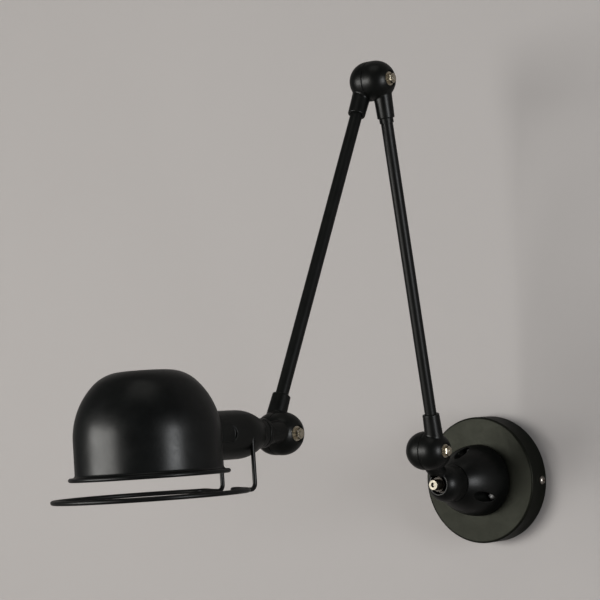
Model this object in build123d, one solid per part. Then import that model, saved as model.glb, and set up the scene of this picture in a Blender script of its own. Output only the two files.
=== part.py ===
from build123d import *
import math
import os

# Articulated wall lamp, in millimetres and degrees.
# Origin: centre of the canopy's wall face. +X right, +Y into the wall, +Z up.

# ------------------------------------------------------------------ fits
SEAM_GAP = 0.4            # between the two halves of a knuckle, and at the base swivel
SHAFT_GAP = 0.05          # radial gap of a bolt or stud in a turning bore
SEAT_GAP = 0.05           # radial gap of a piece that is pressed, screwed or glued in
HOLE_GAP = 0.25           # radial gap of a screw in a plain hole
LEAD_GAP = 0.15           # between a lead and the tube wall
CONTACT_GAP = 0.05        # between a brush tip and its ring
EDGE_BREAK = 0.5          # chamfer on turned ends

# ------------------------------------------------------------------ wall canopy and bracket
CANOPY_RADIUS = 60.0
CANOPY_DEPTH = 24.0
CANOPY_WALL = 1.6
CANOPY_EDGE_RADIUS = 2.0
CANOPY_BORE_RADIUS = 14.0
BRACKET_WIDTH = 18.0
BRACKET_THICKNESS = 2.0
BRACKET_TAB_HEIGHT = 13.0
BRACKET_TAB_GAP = 0.3
CABLE_HOLE_RADIUS = 8.0
WALL_SLOT_SPACING = 66.0
WALL_SLOT_RADIUS = 2.5
WALL_SLOT_LENGTH = 14.0
SIDE_SCREW_HEIGHT = 8.0
SIDE_SCREW_RADIUS = 2.0
SIDE_SCREW_HEAD_RADIUS = 3.9
SIDE_SCREW_HEAD_HEIGHT = 2.4
SIDE_SCREW_LENGTH = 8.0
EARTH_SCREW_PLACE = 17.5
EARTH_SCREW_RADIUS = 2.0
EARTH_SCREW_HEAD_RADIUS = 3.5
EARTH_SCREW_HEAD_HEIGHT = 2.4
CROSS_WIDTH = 1.0
CROSS_DEPTH = 1.2
TERMINAL_PLACE = -17.0
TERMINAL_WIDTH = 11.0
TERMINAL_LENGTH = 17.0
TERMINAL_HEIGHT = 12.0
TERMINAL_PITCH = 8.0
TERMINAL_BORE_RADIUS = 1.6
TERMINAL_SCREW_RADIUS = 1.5
TERMINAL_SCREW_LENGTH = 3.0
TERMINAL_SCREW_SINK = 1.0
TERMINAL_SLOT_WIDTH = 0.5
TERMINAL_SLOT_DEPTH = 0.6

# ------------------------------------------------------------------ bell and its screws
BELL_BASE_RADIUS = 34.0
BELL_TOP_RADIUS = 17.8
BELL_HEIGHT = 44.0
BELL_LIP = 0.5
BELL_WEB = 6.0
BELL_CAVITY_RADIUS = 19.5
BELL_CAVITY_STRAIGHT = 13.0
BELL_CAVITY_TOP_RADIUS = 12.0
BELL_SCREW_COUNT = 3
BELL_SCREW_CIRCLE = 26.8
BELL_SCREW_RADIUS = 2.0
BELL_SCREW_HEAD_RADIUS = 3.5
BELL_SCREW_HEAD_HEIGHT = 3.6
BELL_SCREW_LENGTH = 18.5
BELL_POCKET_RADIUS = 5.0
BELL_POCKET_FLOOR = 12.5
BELL_NUT_FLATS = 7.0
BELL_NUT_HEIGHT = 3.2

# ------------------------------------------------------------------ base swivel
CAP_RADIUS = 17.0
CAP_LENGTH = 23.7
CAP_FLAT_RADIUS = 10.3
CAP_RECESS_RADIUS = 8.9
CAP_RECESS_DEPTH = 6.0
CAP_WEB = 4.0
STUD_RADIUS = 5.0
STUD_TIP = 8.3
STUD_TIP_HOLE_RADIUS = 2.2
STUD_TIP_HOLE_DEPTH = 2.0
STUD_HEAD_RADIUS = 8.0
STUD_HEAD_HEIGHT = 4.0
SWIVEL_WASHER_RADIUS = 7.8
SWIVEL_WASHER_THICKNESS = 1.2
SWIVEL_NUT_FLATS = 13.0
SWIVEL_NUT_HEIGHT = 5.0

# ------------------------------------------------------------------ knuckles
KNUCKLE_RADIUS = 17.7
KNUCKLE_BAND = 3.6
KNUCKLE_FLAT_RADIUS = 7.8
KNUCKLE_RECESS_RADIUS = 7.0
KNUCKLE_CAVITY_RADIUS = 13.0
KNUCKLE_CAVITY_DEPTH = 9.5
NUT_RECESS_DEPTH = 2.0
HEAD_RECESS_DEPTH = 4.2
KNUCKLE_BOLT_RADIUS = 2.5
BOLT_HEAD_RADIUS = 4.6
BOLT_HEAD_HEIGHT = 3.2
BOLT_TIP = 1.0
WASHER_RADIUS = 6.1
WASHER_THICKNESS = 1.2
NUT_FLATS = 8.0
NUT_HEIGHT = 4.0
SEAM_PLACE = 7.5          # of the knuckles, right of the base swivel's axis
ARM_OFFSET = 8.4          # from a knuckle's seam to the line of the arm on either side

# ------------------------------------------------------------------ current contacts in the joints
CONTACT_DISC_THICKNESS = 3.2
RING_INNER_RADII = (6.2, 9.6)
RING_WIDTH = 2.0
RING_THICKNESS = 1.0
RING_INSET = 0.5
BRUSH_RADIUS = 0.8

# ------------------------------------------------------------------ arms
ARM_LENGTH = 338.0        # between knuckle centres
TUBE_RADIUS = 5.4
TUBE_WALL = 1.0
COLLAR_LENGTH = 34.3
COLLAR_ROOT_RADIUS = 8.5
COLLAR_MOUTH_RADIUS = 7.7
COLLAR_ROOT_START = 5.0
SOCKET_DEPTH = 16.0
LEAD_PASSAGE_RADIUS = 3.2
LEAD_RADIUS = 1.1
FERRULE_RADIUS = 6.3
FERRULE_LENGTH = 4.2

# ------------------------------------------------------------------ lower elbow
LOWER_KNUCKLE_OUT = 116.6
LOWER_KNUCKLE_UP = 32.3
NECK_HALF_WIDTH = 7.2
NECK_HALF_DEPTH = 8.8

# ------------------------------------------------------------------ head elbow
HEAD_AXIS_ASIDE = 8.9     # of the head's axis from the knuckle's seam
HEAD_AXIS_RISE = 1.6      # and above the knuckle's centre
HEAD_NECK_RADIUS = 9.0
HEAD_NECK_BORE = 6.6
HEAD_NECK_END = 26.5
HEAD_FLANGE_START = 31.0
HEAD_FLANGE_RADIUS = 11.9
HEAD_FLANGE_WALL = 6.0
HOUSING_BACK = 35.3       # from the knuckle's centre to the housing's back face
PIVOT_TUBE_RADIUS = 4.5
PIVOT_TUBE_BORE = 3.2
PIVOT_FLANGE_RADIUS = 6.3
PIVOT_FLANGE_THICKNESS = 2.0
PIVOT_NUT_FLATS = 13.0
PIVOT_NUT_HEIGHT = 4.0

# ------------------------------------------------------------------ lamp-holder housing and socket
HOUSING_BACK_RADIUS = 12.2
HOUSING_BACK_LENGTH = 5.5
HOUSING_RADIUS = 19.25
HOUSING_SHOULDER = 30.7
HOUSING_BACK_WALL = 5.0
HOUSING_FRONT_BORE = 16.8
HOUSING_REAR_BORE = 14.6
HOUSING_CAVITY_EDGE = 2.0     # cavity's first radius inside the flange's
HOUSING_TAPER = 9.7           # length of the cavity's cone
HOUSING_STEP_GAP = 4.0        # from the cavity's step to the socket's back
GRIP_HALF_WIDTH = 6.8
GRIP_BACK = 79.3              # from the shade's axis to the slot's round end
GRIP_DEPTH = 1.8
GRIP_RISE = 1.2               # of the slots above the head's axis
SOCKET_RADIUS = 14.0
SOCKET_LENGTH = 57.0
SOCKET_INSET = 30.3           # from the shade's axis to the socket's front
SOCKET_BOSS_RADIUS = 8.0
SOCKET_BOSS_GAP = 7.7         # from the pivot's nut to the boss
SOCKET_BOSS_DEPTH = 7.0
SHELL_WALL = 0.6
SHELL_STEP = 3.0              # from the socket's floor to the shell
SOCKET_MOUTH_RADIUS = 11.0
SOCKET_MOUTH_GAP = 1.0        # behind the rim of the bulb's cap
CONTACT_RADIUS = 3.0
CONTACT_HEIGHT = 3.8

# ------------------------------------------------------------------ bulb
BULB_RADIUS = 22.5
BULB_GLASS_WALL = 0.8
BULB_NECK_RADIUS = 7.6
BULB_NECK_TOP_RADIUS = 14.5
BULB_NECK_LENGTH = 18.0
BULB_CAP_RADIUS = 6.9
BULB_CAP_LENGTH = 21.5
BULB_CAP_RIM = 3.5
BULB_CAP_WALL = 0.6
BULB_CAP_STEP = 1.5
BULB_CAP_FLOOR = 2.5
BULB_RIM_STEP = 1.0
BULB_TIP_RADIUS = 3.0
BULB_TIP_HEIGHT = 2.5

# ------------------------------------------------------------------ shade
SHADE_DISTANCE = 163.3    # from the head knuckle's centre to the shade's axis
SHADE_DROP = 26.8         # from the head axis down to the rim
SHADE_RADIUS = 55.0
SHADE_WALL = 1.2
SHADE_STRAIGHT = 29.0
SHADE_SHOULDER_RADIUS = 56.5
SHADE_CROWN_RADIUS = 30.5
SHADE_LIP_RADIUS = 60.0
SHADE_BEAD_RADIUS = 1.6
CLAMP_RING_RADIUS = 19.5
CLAMP_RING_REACH = 6.0
CLAMP_RING_BACK = 5.0

# ------------------------------------------------------------------ guard rod
GUARD_ROD_RADIUS = 1.75
GUARD_RING_RADIUS = 72.0
GUARD_DROP = 41.6
GUARD_HALF_GAP = 16.8
GUARD_LEG_BACK = 98.8     # from the shade's axis to the legs
GUARD_LEG_TOP = 3.0
GUARD_FOOT_BEND = 5.0
GUARD_FOOT_SAG = 1.5      # of the heels below the ring
GUARD_RING_BEND = 6.0

# ------------------------------------------------------------------ pose at rest
LOWER_ARM_LEAN = 12.0     # from upright, out from the wall
UPPER_ARM_LEAN = 24.85     # from upright, back from the head to the middle knuckle
HEAD_ROLL = 3.0           # of the head about its own axis


# ------------------------------------------------------------------ shapes used more than once
def rod(radius, start, end):
    """Cylinder about Z between two heights."""
    return Pos(0, 0, start) * Cylinder(radius, end - start, align=(Align.CENTER, Align.CENTER, Align.MIN))


def ring(outer, inner, start, end):
    """Plain ring about Z."""
    return rod(outer, start, end) - rod(inner, start, end)


def hexagon(flats, start, end):
    """Hexagonal bar about Z."""
    outline = Pos(0, 0, start) * RegularPolygon(radius=flats / 2, side_count=6, major_radius=False)
    return extrude(outline, end - start)


def lathe(*edges):
    """Solid turned about Z from the edges of a closed (radius, height) outline."""
    return revolve(Plane.XZ * make_face(edges), Axis.Z)


def turned(*corners):
    """Solid turned about Z from straight (radius, height) corners."""
    return lathe(*Polyline(*corners, close=True).edges())


def nut(flats, bore, start, height):
    """Hexagonal nut about Z with rounded corners."""
    blank = hexagon(flats, start, start + height)
    corner = flats / math.sqrt(3)
    bevel = (corner - flats / 2) * 0.8
    cone = turned((0, start), (corner - bevel, start), (corner, start + bevel / 2),
                  (corner, start + height - bevel / 2), (corner - bevel, start + height), (0, start + height))
    return (blank & cone) - rod(bore, start, start + height)


def screw(radius, length, head_radius, head_height):
    """Round-headed screw along Z: head above 0 with a cross recess, shank below."""
    shank = rod(radius, -length, 0)
    dome = lathe(
        Line((0, 0), (head_radius, 0)),
        Line((head_radius, 0), (head_radius, head_height * 0.35)),
        TangentArc((head_radius, head_height * 0.35), (0, head_height), tangent=(-0.5, 1)),
        Line((0, head_height), (0, 0)),
    )
    reach = head_radius * 1.1
    depth = Pos(0, 0, head_height)
    cross = depth * Box(reach, CROSS_WIDTH, 2 * CROSS_DEPTH)
    cross += depth * Box(CROSS_WIDTH, reach, 2 * CROSS_DEPTH)
    return shank + (dome - cross)


def group(solids):
    """Several like pieces kept in one node."""
    return Compound([solid for piece in solids for solid in piece.solids()])


# ------------------------------------------------------------------ frames
OUT = Location((0, 0, 0), (90, 0, 0))            # local Z out from the wall, local Y up
TO_RIGHT = Location((0, 0, 0), (0, 90, 0))       # local Z to +X
TO_LEFT = Location((0, 0, 0), (0, -90, 0))       # local Z to -X
HALF_TURN = Location((0, 0, 0), (0, 0, 180))

LOWER_KNUCKLE = Pos(SEAM_PLACE, -LOWER_KNUCKLE_OUT, LOWER_KNUCKLE_UP)
LOWER_ARM = LOWER_KNUCKLE * Location((0, 0, 0), (LOWER_ARM_LEAN, 0, 0))
MIDDLE_KNUCKLE = Pos(*(LOWER_ARM * Pos(0, 0, ARM_LENGTH)).position)
LOWER_ARM_END = LOWER_ARM * Location((0, 0, ARM_LENGTH), (180, 0, 0))
UPPER_ARM = MIDDLE_KNUCKLE * Location((0, 0, 0), (180 - UPPER_ARM_LEAN, 0, 0))
HEAD_KNUCKLE = Pos(*(UPPER_ARM * Pos(0, 0, ARM_LENGTH)).position)
UPPER_ARM_END = UPPER_ARM * Location((0, 0, ARM_LENGTH), (180, 0, 0))
HEAD_AXIS = HEAD_KNUCKLE * Pos(HEAD_AXIS_ASIDE, 0, HEAD_AXIS_RISE)
HEAD = HEAD_AXIS * Location((0, 0, 0), (0, -HEAD_ROLL, 0))
SHADE = HEAD * Pos(0, -SHADE_DISTANCE, -SHADE_DROP)

# heights above the wall along the base swivel
BELL_TOP = CANOPY_DEPTH + BELL_HEIGHT
CAP_START = BELL_TOP + SEAM_GAP
CAP_END = CAP_START + CAP_LENGTH
CAP_FLOOR = CAP_END - CAP_RECESS_DEPTH
CAP_CENTRE = CAP_END - math.sqrt(CAP_RADIUS ** 2 - CAP_FLAT_RADIUS ** 2)
CONTACT_POCKET = CONTACT_DISC_THICKNESS + RING_INSET

# distances from the seam along a knuckle's axis
KNUCKLE_POLE = KNUCKLE_BAND + math.sqrt(KNUCKLE_RADIUS ** 2 - KNUCKLE_FLAT_RADIUS ** 2)
NUT_FLOOR = KNUCKLE_POLE - NUT_RECESS_DEPTH
HEAD_FLOOR = KNUCKLE_POLE - HEAD_RECESS_DEPTH
SEAM = SEAM_GAP / 2
TUBE_SEAT = COLLAR_LENGTH - SOCKET_DEPTH

# distances along the head's axis from the knuckle's centre
NECK_END = HOUSING_BACK - SEAM_GAP
HOUSING_INNER = HOUSING_BACK + HOUSING_BACK_WALL
SOCKET_BOSS_START = HOUSING_INNER + PIVOT_NUT_HEIGHT + SOCKET_BOSS_GAP
SOCKET_FRONT = SHADE_DISTANCE - SOCKET_INSET
SOCKET_BACK = SOCKET_FRONT - SOCKET_LENGTH
BULB_CAP_END = SHADE_DISTANCE - BULB_RADIUS - BULB_NECK_LENGTH / 2
SOCKET_MOUTH = BULB_CAP_END - BULB_CAP_RIM - SOCKET_MOUTH_GAP
CONTACT_FACE = BULB_CAP_END - BULB_CAP_LENGTH - BULB_TIP_HEIGHT
SOCKET_FLOOR = CONTACT_FACE - CONTACT_HEIGHT
GUARD_LEG_PLACE = SHADE_DISTANCE - GUARD_LEG_BACK


# ------------------------------------------------------------------ wall side
def screw_angles():
    """Angles of the bell's screws: one straight up, the others evenly round."""
    return [90 + 360 / BELL_SCREW_COUNT * i for i in range(BELL_SCREW_COUNT)]


def at_bell_screws(height):
    """Places of the bell's screws at a height above the wall."""
    turns = [math.radians(angle) for angle in screw_angles()]
    return [Pos(BELL_SCREW_CIRCLE * math.cos(a), BELL_SCREW_CIRCLE * math.sin(a), height) for a in turns]


def canopy():
    """Pressed cup that covers the bracket."""
    cup = rod(CANOPY_RADIUS, 0, CANOPY_DEPTH)
    cup = fillet(cup.edges().sort_by(Axis.Z)[-1], CANOPY_EDGE_RADIUS)
    cup -= rod(CANOPY_RADIUS - CANOPY_WALL, 0, CANOPY_DEPTH - CANOPY_WALL)
    cup -= rod(CANOPY_BORE_RADIUS, 0, CANOPY_DEPTH)
    for place in at_bell_screws(0):
        cup -= place * rod(BELL_SCREW_RADIUS + HOLE_GAP, 0, CANOPY_DEPTH)
    through = TO_RIGHT * rod(SIDE_SCREW_RADIUS + HOLE_GAP, -2 * CANOPY_RADIUS, 2 * CANOPY_RADIUS)
    return cup - Pos(0, 0, SIDE_SCREW_HEIGHT) * through


def tab_face():
    """Distance from the middle to the outer face of a bracket tab."""
    inside = CANOPY_RADIUS - CANOPY_WALL
    return math.sqrt(inside ** 2 - (BRACKET_WIDTH / 2) ** 2) - BRACKET_TAB_GAP


def wall_bracket():
    """Steel strip screwed to the wall, with its ends turned up and tapped."""
    reach = tab_face()
    low = (Align.CENTER, Align.CENTER, Align.MIN)
    strip = Box(2 * reach, BRACKET_WIDTH, BRACKET_TAB_HEIGHT, align=low)
    inside = Box(2 * (reach - BRACKET_THICKNESS), BRACKET_WIDTH, BRACKET_TAB_HEIGHT, align=low)
    strip -= Pos(0, 0, BRACKET_THICKNESS) * inside
    strip -= rod(CABLE_HOLE_RADIUS, 0, BRACKET_THICKNESS)
    slot = extrude(SlotOverall(WALL_SLOT_LENGTH, 2 * WALL_SLOT_RADIUS), BRACKET_THICKNESS)
    for side in (-1, 1):
        strip -= Pos(side * WALL_SLOT_SPACING / 2, 0, 0) * slot
    strip -= Pos(EARTH_SCREW_PLACE, 0, 0) * rod(EARTH_SCREW_RADIUS + SEAT_GAP, 0, BRACKET_THICKNESS)
    tapped = TO_RIGHT * rod(SIDE_SCREW_RADIUS + SEAT_GAP, -2 * reach, 2 * reach)
    return strip - Pos(0, 0, SIDE_SCREW_HEIGHT) * tapped


def side_screws():
    """Two screws through the canopy's rim into the bracket tabs."""
    one = screw(SIDE_SCREW_RADIUS, SIDE_SCREW_LENGTH, SIDE_SCREW_HEAD_RADIUS, SIDE_SCREW_HEAD_HEIGHT)
    right = Pos(CANOPY_RADIUS, 0, SIDE_SCREW_HEIGHT) * TO_RIGHT
    left = Pos(-CANOPY_RADIUS, 0, SIDE_SCREW_HEIGHT) * TO_LEFT
    return group([right * one, left * one])


def earth_screw():
    """Earthing screw on the bracket."""
    one = screw(EARTH_SCREW_RADIUS, BRACKET_THICKNESS, EARTH_SCREW_HEAD_RADIUS, EARTH_SCREW_HEAD_HEIGHT)
    return Pos(EARTH_SCREW_PLACE, 0, BRACKET_THICKNESS) * one


def terminal_places():
    """Centres of the two ways of the terminal block."""
    return [(TERMINAL_PLACE, side * TERMINAL_PITCH / 2) for side in (-1, 1)]


def terminal_block():
    """Two-way block on the bracket, open for the wires and clamp screws."""
    low = (Align.CENTER, Align.CENTER, Align.MIN)
    block = Pos(TERMINAL_PLACE, 0, BRACKET_THICKNESS) * Box(
        TERMINAL_WIDTH, TERMINAL_LENGTH, TERMINAL_HEIGHT, align=low)
    middle = BRACKET_THICKNESS + TERMINAL_HEIGHT / 2
    for x, y in terminal_places():
        block -= Pos(x, y, middle) * TO_RIGHT * rod(TERMINAL_BORE_RADIUS, -TERMINAL_WIDTH, TERMINAL_WIDTH)
        block -= Pos(x, y, middle) * rod(TERMINAL_SCREW_RADIUS + SEAT_GAP, 0, TERMINAL_HEIGHT)
    return block


def terminal_screws():
    """Clamp screws in the top of the terminal block."""
    top = BRACKET_THICKNESS + TERMINAL_HEIGHT - TERMINAL_SCREW_SINK
    plug = rod(TERMINAL_SCREW_RADIUS, -TERMINAL_SCREW_LENGTH, 0)
    plug -= Box(3 * TERMINAL_SCREW_RADIUS, TERMINAL_SLOT_WIDTH, 2 * TERMINAL_SLOT_DEPTH)
    return group(Pos(x, y, top) * plug for x, y in terminal_places())


def bell():
    """Bell-shaped casting that carries the base swivel."""
    low, high = CANOPY_DEPTH, BELL_TOP
    body = lathe(
        Line((0, low), (BELL_BASE_RADIUS, low)),
        TangentArc((BELL_BASE_RADIUS, low), (BELL_TOP_RADIUS, high - BELL_LIP), tangent=(0, 1)),
        Line((BELL_TOP_RADIUS, high - BELL_LIP), (BELL_TOP_RADIUS - BELL_LIP, high)),
        Line((BELL_TOP_RADIUS - BELL_LIP, high), (0, high)),
        Line((0, high), (0, low)),
    )
    ceiling = high - CONTACT_POCKET - BELL_WEB
    body -= turned((0, low), (BELL_CAVITY_RADIUS, low), (BELL_CAVITY_RADIUS, low + BELL_CAVITY_STRAIGHT),
                   (BELL_CAVITY_TOP_RADIUS, ceiling), (0, ceiling))
    body -= rod(STUD_RADIUS + SHAFT_GAP, low, high)
    body -= rod(KNUCKLE_CAVITY_RADIUS, high - CONTACT_POCKET, high)
    for place in at_bell_screws(low):
        body -= place * rod(BELL_SCREW_RADIUS + HOLE_GAP, 0, BELL_HEIGHT)
        body -= place * rod(BELL_POCKET_RADIUS, BELL_POCKET_FLOOR, BELL_HEIGHT)
    return body


def bell_screws():
    """Screws that hold the bell to the canopy."""
    one = screw(BELL_SCREW_RADIUS, BELL_SCREW_LENGTH, BELL_SCREW_HEAD_RADIUS, BELL_SCREW_HEAD_HEIGHT)
    return group(place * one for place in at_bell_screws(CANOPY_DEPTH + BELL_POCKET_FLOOR))


def bell_nuts():
    """Nuts behind the canopy's face."""
    height = CANOPY_DEPTH - CANOPY_WALL - BELL_NUT_HEIGHT
    one = nut(BELL_NUT_FLATS, BELL_SCREW_RADIUS + SEAT_GAP, 0, BELL_NUT_HEIGHT)
    return group(place * one for place in at_bell_screws(height))


def swivel_stud():
    """Stud of the base swivel: round head inside the bell, plain tip outside the cap."""
    head = BELL_TOP - CONTACT_POCKET - BELL_WEB
    tip = CAP_END + STUD_TIP
    stud = rod(STUD_HEAD_RADIUS, head - STUD_HEAD_HEIGHT, head) + rod(STUD_RADIUS, head, tip)
    stud = chamfer(stud.edges().sort_by(Axis.Z)[-1], EDGE_BREAK)
    return stud - rod(STUD_TIP_HOLE_RADIUS, tip - STUD_TIP_HOLE_DEPTH, tip)


def swivel_washer():
    """Washer in the floor of the cap's recess."""
    return ring(SWIVEL_WASHER_RADIUS, STUD_RADIUS + SEAT_GAP, CAP_FLOOR, CAP_FLOOR + SWIVEL_WASHER_THICKNESS)


def swivel_nut():
    """Thin nut on the stud."""
    start = CAP_FLOOR + SWIVEL_WASHER_THICKNESS
    return nut(SWIVEL_NUT_FLATS, STUD_RADIUS + SEAT_GAP, start, SWIVEL_NUT_HEIGHT)


# ------------------------------------------------------------------ current contacts
def contact_disc(bore):
    """Insulating disc of a joint, its face RING_INSET below Z = 0."""
    back = RING_INSET + CONTACT_DISC_THICKNESS
    return ring(KNUCKLE_CAVITY_RADIUS - SEAT_GAP, bore, -back, -RING_INSET)


def ring_disc(bore):
    """Insulating disc with grooves for the two contact rings."""
    disc = contact_disc(bore)
    floor = -RING_THICKNESS
    for inner in RING_INNER_RADII:
        disc -= ring(inner + RING_WIDTH, inner, floor, 0)
    return disc


def contact_rings():
    """The two contact rings, standing out of their disc to the seam."""
    return group(ring(inner + RING_WIDTH - SEAT_GAP, inner + SEAT_GAP, -RING_THICKNESS, 0)
                 for inner in RING_INNER_RADII)


def brush_places():
    """Each brush stands over the middle of its ring, on opposite sides."""
    middles = [inner + RING_WIDTH / 2 for inner in RING_INNER_RADII]
    return [Pos(0, middles[0], 0), Pos(0, -middles[1], 0)]


def brush_disc(bore):
    """Insulating disc bored for the brushes."""
    disc = contact_disc(bore)
    for place in brush_places():
        disc -= place * rod(BRUSH_RADIUS + SEAT_GAP, -CONTACT_POCKET, 0)
    return disc


def brushes(gap):
    """Brush pins that reach across the seam to the rings."""
    one = rod(BRUSH_RADIUS, -CONTACT_POCKET, gap - CONTACT_GAP)
    return group(place * one for place in brush_places())


# ------------------------------------------------------------------ knuckles
def half_shell():
    """Outer form of half a knuckle on Z, seam at the bottom."""
    return lathe(
        Line((0, SEAM), (KNUCKLE_RADIUS, SEAM)),
        Line((KNUCKLE_RADIUS, SEAM), (KNUCKLE_RADIUS, KNUCKLE_BAND)),
        TangentArc((KNUCKLE_RADIUS, KNUCKLE_BAND), (KNUCKLE_FLAT_RADIUS, KNUCKLE_POLE), tangent=(0, 1)),
        Line((KNUCKLE_FLAT_RADIUS, KNUCKLE_POLE), (0, KNUCKLE_POLE)),
        Line((0, KNUCKLE_POLE), (0, SEAM)),
    )


def half_inside(floor):
    """What is taken out of half a knuckle: contact cavity, bolt bore and the recess at the pole."""
    bore = rod(KNUCKLE_BOLT_RADIUS + SHAFT_GAP, 0, KNUCKLE_POLE)
    recess = rod(KNUCKLE_RECESS_RADIUS, floor, 2 * KNUCKLE_POLE)
    return rod(KNUCKLE_CAVITY_RADIUS, 0, KNUCKLE_CAVITY_DEPTH) + bore + recess


def beyond_seam():
    """Block on the far side of the seam of a half whose pole points to +X."""
    size = 4 * KNUCKLE_RADIUS
    return Pos(SEAM - size / 2, 0, 0) * Box(size, size, 2 * COLLAR_LENGTH)


def arm_half(floor):
    """Knuckle half on +X with the collar that takes an arm tube, along +Z."""
    length = COLLAR_LENGTH - COLLAR_ROOT_START
    collar = Pos(ARM_OFFSET, 0, COLLAR_ROOT_START) * Cone(
        COLLAR_ROOT_RADIUS, COLLAR_MOUTH_RADIUS, length, align=(Align.CENTER, Align.CENTER, Align.MIN))
    collar = chamfer(collar.edges().sort_by(Axis.Z)[-1], EDGE_BREAK)
    body = TO_RIGHT * half_shell() + (collar - beyond_seam())
    body -= TO_RIGHT * half_inside(floor)
    body -= Pos(ARM_OFFSET, 0, 0) * rod(LEAD_PASSAGE_RADIUS, 0, TUBE_SEAT)
    return body - Pos(ARM_OFFSET, 0, 0) * rod(TUBE_RADIUS + SEAT_GAP, TUBE_SEAT, COLLAR_LENGTH)


def right_half():
    """Arm half on the nut side."""
    return arm_half(NUT_FLOOR)


def left_half():
    """Arm half on the side of the bolt's head."""
    return HALF_TURN * arm_half(HEAD_FLOOR)


def knuckle_bolt():
    """Round-headed bolt through a knuckle, head on the left."""
    end = NUT_FLOOR + WASHER_THICKNESS + NUT_HEIGHT + BOLT_TIP
    bolt = rod(KNUCKLE_BOLT_RADIUS, -HEAD_FLOOR, end)
    bolt = chamfer(bolt.edges().sort_by(Axis.Z)[-1], EDGE_BREAK)
    head = rod(BOLT_HEAD_RADIUS, -HEAD_FLOOR - BOLT_HEAD_HEIGHT, -HEAD_FLOOR)
    head = fillet(head.edges().sort_by(Axis.Z)[0], BOLT_HEAD_HEIGHT / 2)
    return TO_RIGHT * (bolt + head)


def knuckle_washer():
    """Washer under the nut."""
    bore = KNUCKLE_BOLT_RADIUS + SEAT_GAP
    return TO_RIGHT * ring(WASHER_RADIUS, bore, NUT_FLOOR, NUT_FLOOR + WASHER_THICKNESS)


def knuckle_nut():
    """Nut on the right of a knuckle."""
    return TO_RIGHT * nut(NUT_FLATS, KNUCKLE_BOLT_RADIUS + SEAT_GAP, NUT_FLOOR + WASHER_THICKNESS, NUT_HEIGHT)


# ------------------------------------------------------------------ arms
def tube():
    """Arm tube between its two collars, along Z from the lower knuckle's centre."""
    start, end = TUBE_SEAT, ARM_LENGTH - TUBE_SEAT
    return ring(TUBE_RADIUS, TUBE_RADIUS - TUBE_WALL, start, end)


def leads():
    """Two insulated leads lying against the inside of a tube."""
    place = TUBE_RADIUS - TUBE_WALL - LEAD_GAP - LEAD_RADIUS
    one = rod(LEAD_RADIUS, TUBE_SEAT, ARM_LENGTH - TUBE_SEAT)
    return group(Pos(0, side * place, 0) * one for side in (-1, 1))


def ferrule():
    """Step ring where a tube enters its collar."""
    start = ARM_LENGTH - COLLAR_LENGTH - FERRULE_LENGTH
    return ring(FERRULE_RADIUS, TUBE_RADIUS + SEAT_GAP, start, start + FERRULE_LENGTH)


# ------------------------------------------------------------------ elbows
def lower_elbow():
    """Casting from the base swivel to the left half of the lower knuckle."""
    cap = lathe(
        Line((0, CAP_START), (CAP_RADIUS, CAP_START)),
        Line((CAP_RADIUS, CAP_START), (CAP_RADIUS, CAP_CENTRE)),
        TangentArc((CAP_RADIUS, CAP_CENTRE), (CAP_FLAT_RADIUS, CAP_END), tangent=(0, 1)),
        Line((CAP_FLAT_RADIUS, CAP_END), (0, CAP_END)),
        Line((0, CAP_END), (0, CAP_START)),
    )
    foot = Vector(0, -CAP_CENTRE, 0)
    top = Vector(0, -LOWER_KNUCKLE_OUT, LOWER_KNUCKLE_UP)
    along = Plane(origin=foot, x_dir=(1, 0, 0), z_dir=top - foot)
    reach = (top - foot).length
    neck = along * extrude(Ellipse(NECK_HALF_WIDTH, NECK_HALF_DEPTH), reach)
    body = OUT * cap + neck + LOWER_KNUCKLE * TO_LEFT * half_shell()
    body -= LOWER_KNUCKLE * TO_LEFT * half_inside(HEAD_FLOOR)
    body -= OUT * rod(KNUCKLE_CAVITY_RADIUS, CAP_START, CAP_FLOOR - CAP_WEB)
    body -= OUT * rod(STUD_RADIUS + SHAFT_GAP, CAP_START, CAP_END)
    body -= OUT * rod(CAP_RECESS_RADIUS, CAP_FLOOR, CAP_END + KNUCKLE_RADIUS)
    return body - along * rod(LEAD_PASSAGE_RADIUS, KNUCKLE_CAVITY_RADIUS, reach - KNUCKLE_BAND)


def head_elbow():
    """Casting from the right half of the head knuckle to the flange that carries the housing."""
    end = NECK_END
    neck = rod(HEAD_NECK_RADIUS, 0, HEAD_FLANGE_START)
    flare = turned((0, HEAD_NECK_END), (HEAD_NECK_RADIUS, HEAD_NECK_END),
                   (HEAD_FLANGE_RADIUS, HEAD_FLANGE_START), (HEAD_FLANGE_RADIUS, end), (0, end))
    side = 2 * HEAD_NECK_RADIUS
    trim = Pos(SEAM - HEAD_AXIS_ASIDE - side / 2, 0, 0) * Box(side, 2 * side, 2 * HEAD_NECK_END)
    place = Pos(HEAD_AXIS_ASIDE, 0, HEAD_AXIS_RISE) * OUT
    body = TO_RIGHT * half_shell() + place * (neck - trim + flare)
    body -= TO_RIGHT * half_inside(NUT_FLOOR)
    body -= place * rod(HEAD_NECK_BORE, 0, end - HEAD_FLANGE_WALL)
    return body - place * rod(PIVOT_TUBE_RADIUS + SHAFT_GAP, 0, end)


# ------------------------------------------------------------------ head
def pivot_tube():
    """Hollow pivot through the elbow's flange into the housing."""
    seat = NECK_END - HEAD_FLANGE_WALL
    end = SOCKET_BOSS_START + SOCKET_BOSS_DEPTH
    body = rod(PIVOT_FLANGE_RADIUS, seat - PIVOT_FLANGE_THICKNESS, seat) + rod(PIVOT_TUBE_RADIUS, seat, end)
    return body - rod(PIVOT_TUBE_BORE, 0, end)


def pivot_nut():
    """Nut that holds the pivot tube in the housing."""
    return nut(PIVOT_NUT_FLATS, PIVOT_TUBE_RADIUS + SEAT_GAP, HOUSING_INNER, PIVOT_NUT_HEIGHT)


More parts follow.
